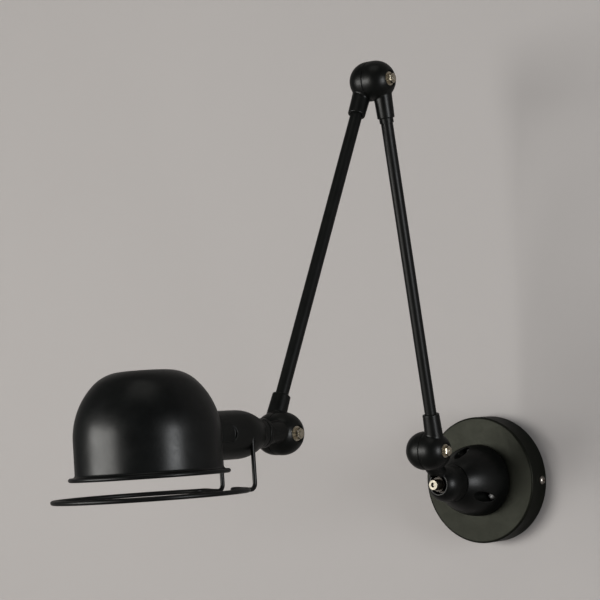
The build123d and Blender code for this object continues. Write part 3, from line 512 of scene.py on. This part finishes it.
@dataclass(frozen=True)
class Glazed(Finish):
    """Glazed ceramic or baked enamel: pooled gloss over a hard white body, its recesses darkened towards the
    pooled colour as painted shade.
    """

    pooled_and_shade: Colour = (0.72, 0.70, 0.64)
    soften: float = 0.0003

    def fill(self, graph: Graph, shader: bpy.types.Node) -> None:
        """Feed colour, roughness and normal."""
        shader.inputs["Coat Weight"].default_value = 0.4
        shader.inputs["Coat Roughness"].default_value = 0.08
        tone = MOTTLE.place(graph, Scale=55.0)
        shade_and_rust = RECESS_SHADE_AND_RUST.place(graph, Distance=0.003, Amount=0.5)
        colour = graph.mix(graph.math("MULTIPLY", tone, 0.35), self.colour, self.pooled_and_shade)
        # Recesses take the pooled colour: painted shade.
        graph.link(graph.mix(shade_and_rust, colour, self.pooled_and_shade), shader.inputs["Base Color"])
        rough = graph.spread(tone, 0.0, 1.0, self.roughness - 0.04, self.roughness + 0.06)
        graph.link(rough, shader.inputs["Roughness"])
        wave = MOTTLE.place(graph, Scale=240.0, Detail=1.0)
        self.relief(graph, shader, wave, 0.00004, self.soften)


@dataclass(frozen=True)
class Opal(Finish):
    """Inside-frosted bulb glass."""

    def fill(self, graph: Graph, shader: bpy.types.Node) -> None:
        """Feed colour, roughness and normal."""
        shader.inputs["Transmission Weight"].default_value = 0.55
        shader.inputs["IOR"].default_value = 1.46
        tone = MOTTLE.place(graph, Scale=130.0)
        paler = tuple(min(1.0, 1.05 * part) for part in self.colour)
        graph.link(graph.mix(tone, self.colour, paler), shader.inputs["Base Color"])
        rough = graph.spread(tone, 0.0, 1.0, self.roughness - 0.05, self.roughness + 0.05)
        graph.link(rough, shader.inputs["Roughness"])
        frost = GRAIN.place(graph, Scale=2600.0, Grit=0.0)
        self.relief(graph, shader, frost, 0.00001)


@dataclass(frozen=True)
class Backdrop(Finish):
    """Plain pale paint of the wall and the floor, open when seen from behind."""

    reflected: float = 0.45

    def fill(self, graph: Graph, shader: bpy.types.Node) -> None:
        """Feed colour and roughness, and let rays through from behind."""
        tone = MOTTLE.place(graph, Scale=2.5)
        paler = tuple(min(1.0, 1.02 * part) for part in self.colour)
        dim = tuple(self.reflected * part for part in self.colour)
        path = graph.add("LightPath")
        colour = graph.mix(tone, self.colour, paler)
        graph.link(graph.mix(path.outputs["Is Glossy Ray"], colour, dim), shader.inputs["Base Color"])
        rough = graph.spread(tone, 0.0, 1.0, self.roughness, self.roughness + 0.05)
        graph.link(rough, shader.inputs["Roughness"])
        side = graph.add("NewGeometry")
        clear = graph.add("BsdfTransparent")
        both = graph.add("MixShader")
        output = graph.tree.nodes["Material Output"]
        graph.link(side.outputs["Backfacing"], both.inputs[0])
        graph.link(shader.outputs[0], both.inputs[1])
        graph.link(clear.outputs[0], both.inputs[2])
        graph.link(both.outputs[0], output.inputs[0])


FINE_PEEL = 0.000012
FINISHES: dict[Slot, Finish] = {
    Slot.CASTINGS: PowderCoat("cast_black", (0.0020, 0.0023, 0.0020), 0.33),
    Slot.TUBE: PowderCoat("tube_black", (0.0028, 0.0031, 0.0028), 0.36, peel=FINE_PEEL, soften=0.0002,
                          shine=0.21),
    Slot.CANOPY: PowderCoat("canopy_black", (0.0042, 0.0045, 0.0035), 0.38, soften=0.0004, shine=0.125,
                            shine_tint=(0.97, 1.0, 0.80)),
    Slot.SHADE: PowderCoat("shade_black", (0.0026, 0.0030, 0.0030), 0.31, peel=FINE_PEEL),
    Slot.GUARD: PowderCoat("guard_black", (0.0028, 0.0030, 0.0029), 0.34, peel=FINE_PEEL, soften=0.0002),
    Slot.NICKEL: PlatedMetal("nickel_plate", (0.74, 0.67, 0.54), 0.22),
    Slot.DARK: PlatedMetal("dark_plate", (0.024, 0.022, 0.020), 0.34),
    Slot.SCREWS: PlatedMetal("screw_plate", (0.70, 0.69, 0.67), 0.28, shade_and_rust=(0.14, 0.055, 0.03), shade_and_rust_amount=0.5),
    Slot.ZINC: PlatedMetal("zinc_plate", (0.63, 0.63, 0.61), 0.34, line_scale=500.0, soften=0.0003),
    Slot.TERMINAL: Moulded("terminal_moulding", (0.80, 0.79, 0.74), 0.5),
    Slot.CONTACT_PLASTIC: Moulded("contact_moulding", (0.10, 0.085, 0.075), 0.55),
    Slot.BRASS: PlatedMetal("contact_brass", (0.74, 0.56, 0.28), 0.3),
    Slot.LEAD: Moulded("lead_sleeve", (0.35, 0.19, 0.10), 0.55),
    Slot.CERAMIC: Glazed("holder_glaze", (0.86, 0.85, 0.81), 0.2),
    Slot.BULB_CAP: PlatedMetal("bulb_cap_metal", (0.76, 0.76, 0.75), 0.3),
    Slot.GLASS: Opal("bulb_frost", (0.93, 0.93, 0.90), 0.42),
}
ENAMEL = Glazed("shade_enamel", (0.84, 0.83, 0.79), 0.3, pooled_and_shade=(0.74, 0.73, 0.68), soften=0.0)
# A darkened copy of the nickel plating, so the stud's tip catches less light: painted shade.
SHADED_STUD_PLATE = PlatedMetal("shaded_stud_plate", (0.14, 0.128, 0.105), 0.28)
# A paler copy of the screw plating, so the screws deep in the bell's pockets read bright: painted highlight.
LIT_BELL_SCREW_PLATE = PlatedMetal("lit_bell_screw_plate", (0.92, 0.92, 0.91), 0.42, shade_and_rust_amount=0.12)
RUSTED_PLATE = PlatedMetal("rusted_plate", (0.50, 0.46, 0.42), 0.3, shade_and_rust=(0.15, 0.06, 0.035), shade_and_rust_amount=1.0,
                           reach=0.004)
WALL_PAINT = Backdrop("wall_paint", (0.43, 0.41, 0.405), 0.85)


# ---------------------------------------------------------------- modelling helpers
def clear_selection() -> None:
    """Leave object mode ready, with nothing selected."""
    if bpy.context.object and bpy.context.object.mode != "OBJECT":
        bpy.ops.object.mode_set(mode="OBJECT")
    bpy.ops.object.select_all(action="DESELECT")


def take(piece: bpy.types.Object) -> None:
    """Make a piece the only selected and the active one."""
    clear_selection()
    piece.select_set(True)
    bpy.context.view_layer.objects.active = piece


def apply_modifier(piece: bpy.types.Object, kind: str, **values: object) -> None:
    """Add a modifier, set it and apply it.

    Args:
        piece: The mesh object.
        kind: Modifier type.
        values: Its properties.
    """
    take(piece)
    modifier = piece.modifiers.new(kind.lower(), kind)
    for key, value in values.items():
        setattr(modifier, key, value)
    bpy.ops.object.modifier_apply(modifier=modifier.name)


def set_down(piece: bpy.types.Object) -> None:
    """Put a piece's place, turn and scale into its mesh."""
    take(piece)
    bpy.ops.object.transform_apply(location=True, rotation=True, scale=True)


def hand_over(piece: bpy.types.Object, body: Body, slot: Slot, *nodes: str) -> None:
    """Give a finished piece its finish and its body, and hide the CAD nodes it stands for.

    Args:
        piece: The finished piece.
        body: The body it rides on.
        slot: The record's slot of its finish.
        nodes: CAD nodes it replaces.
    """
    if not piece.data.materials:
        piece.data.materials.append(FINISHES[slot].make())
    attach(piece, body.value)
    if nodes:
        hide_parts(*nodes)
    LOG.info("%s: %d faces, rides on %s", piece.name, len(piece.data.polygons), body.value)


def copy_of(node: str, name: str) -> bpy.types.Object:
    """Copy a CAD node's mesh as a new closed piece.

    Args:
        node: The CAD node.
        name: Name of the new piece.

    Returns:
        The new object, its doubles merged.
    """
    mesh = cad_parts[node].data.copy()
    mesh.materials.clear()
    piece = bpy.data.objects.new(name, mesh)
    bpy.context.scene.collection.objects.link(piece)
    take(piece)
    bpy.ops.object.mode_set(mode="EDIT")
    bpy.ops.mesh.select_all(action="SELECT")
    bpy.ops.mesh.remove_doubles(threshold=0.000002)
    bpy.ops.object.mode_set(mode="OBJECT")
    bpy.ops.mesh.customdata_custom_splitnormals_clear()
    return piece


@dataclass(frozen=True)
class Root:
    """A place where a round boss grows out of a ball, and gets a cast fillet."""

    centre: Vector
    ball: float
    along: Vector
    reach: float
    passes: int = 36


FILL_STEP = 0.5         # share of the way to the neighbours' middle in one pass
FILL_BELOW = 0.0004     # depth under the ball's face that a fillet may start from
FILL_ABOVE = 0.006      # height over the ball's face that a fillet may reach


def fill_root(piece: bpy.types.Object, root: Root) -> None:
    """Ease the inner corner round a root, filling only and never cutting.

    Args:
        piece: A dense, even mesh.
        root: Where the corner is.
    """
    mesh = piece.data
    count = len(mesh.vertices)
    place = np.empty(count * 3)
    mesh.vertices.foreach_get("co", place)
    place = place.reshape(-1, 3)
    ends = np.empty(len(mesh.edges) * 2, dtype=np.int64)
    mesh.edges.foreach_get("vertices", ends)
    first, second = ends.reshape(-1, 2).T
    offset = place - np.array(root.centre)
    along = offset @ np.array(root.along)
    aside = np.linalg.norm(offset - along[:, None] * np.array(root.along), axis=1)
    out = np.linalg.norm(offset, axis=1)
    near = (out > root.ball - FILL_BELOW) & (out < root.ball + FILL_ABOVE)
    weight = (along > 0) & (aside < root.reach) & near
    degree = np.bincount(first, minlength=count) + np.bincount(second, minlength=count)
    normal = np.empty(count * 3)
    for _ in range(root.passes):
        mesh.vertices.foreach_set("co", place.reshape(-1))
        mesh.update()
        mesh.vertices.foreach_get("normal", normal)
        sums = [np.bincount(first, place[second, k], count) + np.bincount(second, place[first, k], count)
                for k in range(3)]
        total = np.stack(sums, axis=1)
        step = total / degree[:, None] - place
        rise = np.einsum("ij,ij->i", step, normal.reshape(-1, 3))
        place = place + step * (FILL_STEP * weight * (rise > 0))[:, None]
    mesh.vertices.foreach_set("co", place.reshape(-1))
    mesh.update()


FINE_GRAIN = 0.00038    # face size of the knuckle castings
WIDE_GRAIN = 0.0005     # face size of the bell and the housing


def soften_casting(node: str, name: str, roots: tuple[Root, ...] = (), grain: float = FINE_GRAIN,
                   passes: int = 3) -> bpy.types.Object:
    """Remake a CAD casting with the eased edges and filled corners of a real one.

    Args:
        node: The CAD node.
        name: Name of the new piece.
        roots: Inner corners that get a larger fillet.
        grain: Size of the new mesh's faces in metres.
        passes: Rounds of smoothing that ease the edges.

    Returns:
        The new piece.
    """
    piece = copy_of(node, name)
    apply_modifier(piece, "REMESH", mode="VOXEL", voxel_size=grain, use_smooth_shade=True)
    apply_modifier(piece, "SMOOTH", factor=0.5, iterations=passes)
    for root in roots:
        fill_root(piece, root)
    take(piece)
    bpy.ops.object.shade_smooth()
    return piece


def arc(centre: Point, radius: float, start: float, end: float, steps: int) -> list[Point]:
    """Points of an arc in a profile.

    Args:
        centre: Centre as (radius, height).
        radius: Radius of the arc.
        start: First angle in degrees.
        end: Last angle in degrees.
        steps: Number of steps.

    Returns:
        Points as (radius, height).
    """
    points = []
    for step in range(steps + 1):
        angle = math.radians(start + (end - start) * step / steps)
        points.append((centre[0] + radius * math.cos(angle), centre[1] + radius * math.sin(angle)))
    return points


def turn_profile(name: str, profile: list[Point], steps: int) -> bpy.types.Object:
    """Spin a profile of (radius, height) points about Z.

    Args:
        name: Name of the new piece.
        profile: Points in millimetres, the first and the last on the axis.
        steps: Number of steps round.

    Returns:
        The spun piece about the origin.
    """
    clear_selection()
    bpy.ops.mesh.primitive_plane_add(size=0.001, location=(0, 0, 0))
    piece = bpy.context.object
    piece.name = piece.data.name = name
    bpy.ops.object.mode_set(mode="EDIT")
    bpy.ops.mesh.select_all(action="SELECT")
    bpy.ops.mesh.merge(type="CENTER")
    here = (0.0, 0.0)
    for place, point in enumerate(profile):
        move = ((point[0] - here[0]) * MM, 0.0, (point[1] - here[1]) * MM)
        if place:
            bpy.ops.mesh.extrude_vertices_move(TRANSFORM_OT_translate={"value": move})
        else:
            bpy.ops.transform.translate(value=move)
        here = point
    bpy.ops.mesh.select_all(action="SELECT")
    bpy.ops.mesh.spin(steps=steps, angle=2 * math.pi, center=(0, 0, 0), axis=(0, 0, 1))
    bpy.ops.mesh.select_all(action="SELECT")
    bpy.ops.mesh.remove_doubles(threshold=0.000005)
    bpy.ops.mesh.normals_make_consistent(inside=False)
    bpy.ops.object.mode_set(mode="OBJECT")
    bpy.ops.object.shade_smooth()
    return piece


def dress(slot: Slot, *nodes: str, finish: Finish | None = None) -> None:
    """Give CAD nodes that stay a finish through their slots.

    Args:
        slot: The record's slot of the nodes.
        nodes: The CAD nodes.
        finish: A finish of their own, or None for the slot's.
    """
    for node in nodes:
        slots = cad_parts[node].material_slots
        for place in slots:
            place.material = (finish or FINISHES[slot]).make()
        LOG.info("%s: dressed as %s", node, slot.value)


# ---------------------------------------------------------------- sub-assemblies
@dataclass
class Knuckle:
    """A round joint of two cast halves, with its bolt, washer, nut and contacts."""

    name: str
    centre: Vector
    radius: float = 0.0177

    def root(self, along: Vector, reach: float = 0.024) -> Root:
        """Return the fillet where a collar or neck leaves the ball.

        Args:
            along: Way from the ball along the collar.
            reach: Furthest distance of the fillet from that line.
        """
        return Root(self.centre, self.radius, along.normalized(), reach)

    def dress(self) -> None:
        """Dress the hardware and the contacts inside."""
        dress(Slot.NICKEL, *(f"{self.name}_knuckle_{part}" for part in ("bolt", "washer", "nut")))
        dress(Slot.CONTACT_PLASTIC, *(f"{self.name}_knuckle_{part}" for part in ("ring_disc", "brush_disc")))
        dress(Slot.BRASS, *(f"{self.name}_knuckle_{part}" for part in ("contact_rings", "brushes")))


@dataclass
class WallBase:
    """Canopy, bracket, terminal block, bell and the fixed half of the swivel."""

    def build(self) -> None:
        """Make the bell's casting."""
        bell = soften_casting("base_bell", "base_bell_casting", grain=WIDE_GRAIN)
        hand_over(bell, Body.WALL, Slot.CASTINGS, "base_bell")

    def dress(self) -> None:
        """Dress the nodes that stay."""
        dress(Slot.CANOPY, "canopy")
        dress(Slot.ZINC, "wall_bracket")
        dress(Slot.TERMINAL, "terminal_block")
        dress(Slot.SCREWS, "earth_screw", "terminal_screws", "bell_nuts")
        # The bell screws take the paler plating copy: painted highlight.
        dress(Slot.SCREWS, "bell_screws", finish=LIT_BELL_SCREW_PLATE)
        dress(Slot.SCREWS, "canopy_side_screws", finish=RUSTED_PLATE)
        # The stud takes the darkened nickel copy: painted shade.
        dress(Slot.NICKEL, "swivel_stud", finish=SHADED_STUD_PLATE)
        dress(Slot.DARK, "swivel_washer", "swivel_nut")
        dress(Slot.CONTACT_PLASTIC, "swivel_ring_disc")
        dress(Slot.BRASS, "swivel_contact_rings")


@dataclass
class LowerElbow:
    """Casting that turns on the bell and carries the lower knuckle."""

    knuckle: Knuckle
    cap_middle: Vector = field(default_factory=lambda: Vector((0.0, -0.0798, 0.0)))
    neck_reach: float = 0.0125

    def build(self) -> None:
        """Make the elbow's casting."""
        neck = self.cap_middle - self.knuckle.centre
        root = self.knuckle.root(neck, self.neck_reach)
        elbow = soften_casting("lower_elbow", "lower_elbow_casting", (root,))
        hand_over(elbow, Body.LOWER_ELBOW, Slot.CASTINGS, "lower_elbow")

    def dress(self) -> None:
        """Dress the nodes that stay."""
        dress(Slot.CONTACT_PLASTIC, "swivel_brush_disc")
        dress(Slot.BRASS, "swivel_brushes")
        self.knuckle.dress()


@dataclass
class Arm:
    """A tube between two knuckle halves."""

    name: str
    body: Body
    start: Knuckle
    end: Knuckle
    start_half: str
    end_half: str

    def build(self) -> None:
        """Make the two cast halves."""
        along = self.end.centre - self.start.centre
        for half, knuckle, way in ((self.start_half, self.start, along), (self.end_half, self.end, -along)):
            piece = soften_casting(half, half + "_casting", (knuckle.root(way),))
            hand_over(piece, self.body, Slot.CASTINGS, half)

    def dress(self) -> None:
        """Dress the tube and the leads in it."""
        dress(Slot.TUBE, f"{self.name}_tube")
        dress(Slot.LEAD, f"{self.name}_leads")


@dataclass
class HeadElbow:
    """Casting from the head knuckle to the flange that the housing turns on."""

    knuckle: Knuckle

    def build(self) -> None:
        """Make the elbow's casting."""
        root = self.knuckle.root(Vector((0, -1, 0)))
        elbow = soften_casting("head_elbow", "head_elbow_casting", (root,))
        hand_over(elbow, Body.HEAD_ELBOW, Slot.CASTINGS, "head_elbow")

    def dress(self) -> None:
        """Dress the knuckle."""
        self.knuckle.dress()


@dataclass
class Head:
    """Lamp-holder housing, bulb, spun shade and guard rod."""

    axis: Vector = field(default_factory=lambda: Vector((0.0164, -0.32892, 0.05781)))
    distance: float = 163.3
    drop: float = 26.8
    lean: float = 3.0
    radius: float = 55.0
    wall: float = 1.2
    straight: float = 29.0
    shoulder: float = 56.5
    crown: float = 30.5
    lip: float = 60.0
    bead: float = 1.6
    lip_bend: float = 2.2
    side_hole: float = 14.25
    turns: int = 160
    arc_steps: int = 16

    def build(self) -> None:
        """Make the housing and the shade."""
        housing = soften_casting("lamp_housing", "lamp_housing_casting", grain=WIDE_GRAIN, passes=2)
        hand_over(housing, Body.HEAD, Slot.CASTINGS, "lamp_housing")
        self.build_shade()

    def shell(self, inset: float) -> list[Point]:
        """Profile of the shade from its wall up to the pole.

        Args:
            inset: Distance inside the outer face.

        Returns:
            Points in millimetres, from above the rim to the pole.
        """
        half = math.sqrt(0.5)
        centre_x = self.radius - self.shoulder
        shoulder = self.shoulder - inset
        crown = self.crown - inset
        change = (centre_x + shoulder * half, self.straight + shoulder * half)
        crown_centre = (change[0] - crown * half, change[1] - crown * half)
        points = arc((centre_x, self.straight), shoulder, 0.0, 45.0, self.arc_steps)
        points += arc(crown_centre, crown, 45.0, 90.0, self.arc_steps)[1:]
        return points + [(0.0, crown_centre[1] + crown)]

    def build_shade(self) -> None:
        """Spin the shade, roll its rim, cut its side hole and enamel its inside."""
        bead_centre = (self.lip - self.bead, self.wall / 2)
        bend = self.lip_bend
        top = bead_centre[1] + self.bead
        belt = (self.straight - 8, 12.0)
        outer = [(self.radius, height) for height in belt]
        outer += arc((self.radius + bend, top + bend), bend, 180.0, 270.0, 6)
        roll = arc(bead_centre, self.bead, 90.0, -150.0, 20)
        inside = self.radius - self.wall
        inner = [(roll[-1][0] - 0.6, roll[-1][1] + 0.1), (inside + 0.5, 0.5), (inside, 1.6)]
        inner += [(inside, height) for height in reversed(belt)]
        outer_down = list(reversed(self.shell(0.0)))
        profile = outer_down + outer + roll + inner + self.shell(self.wall)
        shade = turn_profile("shade_spun", profile, self.turns)
        apply_modifier(shade, "WELD", merge_threshold=0.00001)
        lean = math.radians(self.lean)
        drop = Vector((math.sin(lean), 0.0, -math.cos(lean))) * self.drop * MM
        rim = self.axis + Vector((0, -self.distance * MM, 0)) + drop
        shade.matrix_world = Matrix.Translation(rim) @ Matrix.Rotation(-lean, 4, "Y")
        set_down(shade)
        cutter = self.cutter()
        apply_modifier(shade, "BOOLEAN", operation="DIFFERENCE", solver="EXACT", object=cutter)
        bpy.data.objects.remove(cutter)
        self.enamel_inside(shade, rim)
        take(shade)
        bpy.ops.object.shade_smooth_by_angle(angle=math.radians(35))
        hand_over(shade, Body.HEAD, Slot.SHADE, "shade")

    def cutter(self) -> bpy.types.Object:
        """Return the round bar that cuts the shade's side hole."""
        clear_selection()
        middle = self.axis + Vector((0, -(self.distance - self.radius) * MM, 0))
        bpy.ops.mesh.primitive_cylinder_add(vertices=96, radius=self.side_hole * MM, depth=0.04,
                                            location=middle, rotation=(math.pi / 2, 0, 0))
        return bpy.context.object

    def enamel_inside(self, shade: bpy.types.Object, rim: Vector) -> None:
        """Give the faces that look inwards the white enamel.

        Args:
            shade: The shade in place.
            rim: Centre of its rim.
        """
        shade.data.materials.clear()
        shade.data.materials.append(FINISHES[Slot.SHADE].make())
        shade.data.materials.append(ENAMEL.make())
        lean = math.radians(self.lean)
        up = Vector((-math.sin(lean), 0.0, math.cos(lean)))
        heart = rim + up * 0.02
        for face in shade.data.polygons:
            offset = face.center - rim
            height = offset.dot(up)
            flat = (offset - up * height).length
            looks_in = face.normal.dot(heart - face.center) > 0
            face.material_index = 1 if looks_in and flat < (self.radius - 0.3) * MM and height > 0.0006 else 0

    def dress(self) -> None:
        """Dress the nodes that stay."""
        dress(Slot.GUARD, "guard_rod")
        dress(Slot.ZINC, "pivot_tube", "pivot_nut", "clamp_ring")
        dress(Slot.CERAMIC, "socket_body")
        dress(Slot.BRASS, "socket_shell", "socket_contact")
        dress(Slot.BULB_CAP, "bulb_cap")
        dress(Slot.GLASS, "bulb_glass")


# ---------------------------------------------------------------- stage, lights and camera
@dataclass(frozen=True)
class SoftBox:
    """A soft rectangular lamp that looks at a point."""

    name: str
    place: Triple
    aim: Triple
    size: tuple[float, float]
    power: float
    colour: Colour = (1.0, 1.0, 1.0)

    def build(self) -> None:
        """Add the lamp."""
        data = bpy.data.lights.new(self.name, "AREA")
        data.shape = "RECTANGLE"
        data.size, data.size_y = self.size
        data.energy = self.power
        data.color = self.colour
        lamp = bpy.data.objects.new(self.name, data)
        bpy.context.scene.collection.objects.link(lamp)
        way = Vector(self.aim) - Vector(self.place)
        lamp.location = self.place
        lamp.rotation_euler = way.to_track_quat("-Z", "Y").to_euler()
        lamp.visible_camera = False


@dataclass
class Studio:
    """Pale wall and floor, two tall soft boxes, an overhead one, and the camera."""

    floor_height: float = -0.45
    camera_place: Vector = field(default_factory=lambda: Vector((0.91089, -1.41882, 0.09728)))
    yaw: float = 38.86
    pitch: float = 2.73
    roll: float = -1.46
    lens: float = 103.85
    boxes: tuple[SoftBox, ...] = (
        SoftBox("left_box", (-1.08, -2.39, 0.10), (0.0, -0.40, 0.10), (1.8, 0.9), 53.0, (1.0, 0.99, 0.95)),
        SoftBox("right_box", (2.05, -0.72, 0.10), (0.0, -0.40, 0.10), (0.5, 0.9), 21.0, (0.97, 0.99, 1.0)),
        SoftBox("top_box", (0.2, -0.9, 2.1), (0.0, -0.3, 0.1), (1.2, 1.2), 3.0, (1.0, 0.99, 0.93)),
    )

    def build(self) -> None:
        """Set the stage, the lights and the camera."""
        self.build_plane("studio_wall", (0.0, 0.0006, 1.55), (math.pi / 2, 0, 0), (8.0, 4.0))
        self.build_plane("studio_floor", (0.0, -3.0, self.floor_height), (0, 0, 0), (16.0, 6.0012))
        for box in self.boxes:
            box.build()
        self.build_world()
        self.build_camera()

    def build_plane(self, name: str, place: Triple, turn: Triple, size: tuple[float, float]) -> None:
        """Add one plain surface of the stage.

        Args:
            name: Its name.
            place: Its centre.
            turn: Its turn.
            size: Its width and length.
        """
        clear_selection()
        bpy.ops.mesh.primitive_plane_add(size=1.0, location=place, rotation=turn)
        plane = bpy.context.object
        plane.name = name
        plane.scale = (*size, 1.0)
        set_down(plane)
        plane.data.materials.append(WALL_PAINT.make())

    def build_world(self) -> None:
        """Dim soft surroundings that look pale behind the object."""
        world = bpy.data.worlds.new("studio_air")
        bpy.context.scene.world = world
        world.use_nodes = True
        world.node_tree.nodes.clear()
        graph = Graph(world.node_tree)
        path = graph.add("LightPath")
        seen = graph.math("ADD", path.outputs["Is Camera Ray"], path.outputs["Is Transmission Ray"],
                          clamp=True)
        shine = graph.math("MULTIPLY", path.outputs["Is Glossy Ray"], 0.03)
        seen = graph.math("ADD", seen, shine, clamp=True)
        colour = graph.mix(seen, (0.045, 0.045, 0.046), (0.72, 0.715, 0.71))
        air = graph.add("Background", Strength=1.0)
        output = graph.add("OutputWorld")
        graph.link(colour, air.inputs["Color"])
        graph.link(air.outputs[0], output.inputs[0])

    def build_camera(self) -> None:
        """Add the camera at the photograph's viewing angle."""
        data = bpy.data.cameras.new("photo_camera")
        data.sensor_width = 36.0
        data.lens = self.lens
        camera = bpy.data.objects.new("photo_camera", data)
        bpy.context.scene.collection.objects.link(camera)
        yaw, pitch, roll = (math.radians(angle) for angle in (self.yaw, self.pitch, self.roll))
        ahead = Vector((-math.sin(yaw) * math.cos(pitch), math.cos(yaw) * math.cos(pitch), math.sin(pitch)))
        right = Vector((math.cos(yaw), math.sin(yaw), 0.0))
        up = right.cross(ahead)
        right_rolled = math.cos(roll) * right + math.sin(roll) * up
        up_rolled = math.cos(roll) * up - math.sin(roll) * right
        turn = Matrix((right_rolled, up_rolled, -ahead)).transposed().to_4x4()
        camera.matrix_world = Matrix.Translation(self.camera_place) @ turn
        bpy.context.scene.camera = camera
        bpy.context.scene.view_settings.view_transform = "Standard"


def main() -> None:
    """Build the lamp from the wall outwards, then the studio."""
    logging.basicConfig(level=logging.INFO, format="%(message)s")
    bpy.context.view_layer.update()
    lower = Knuckle("lower", Vector((0.0075, -0.1166, 0.0323)))
    middle = Knuckle("middle", Vector((0.0075, -0.18687, 0.36291)))
    head_joint = Knuckle("head", Vector((0.0075, -0.32892, 0.05621)))
    assemblies = (
        WallBase(),
        LowerElbow(lower),
        Arm("lower_arm", Body.LOWER_ARM, lower, middle, "lower_arm_bottom_half", "lower_arm_top_half"),
        Arm("upper_arm", Body.UPPER_ARM, middle, head_joint, "upper_arm_top_half", "upper_arm_bottom_half"),
        HeadElbow(head_joint),
        Head(),
    )
    for assembly in assemblies:
        assembly.build()
        assembly.dress()
    dress(Slot.TUBE, "lower_arm_ferrule")
    middle.dress()
    Studio().build()


if __name__ == "__main__":
    main()
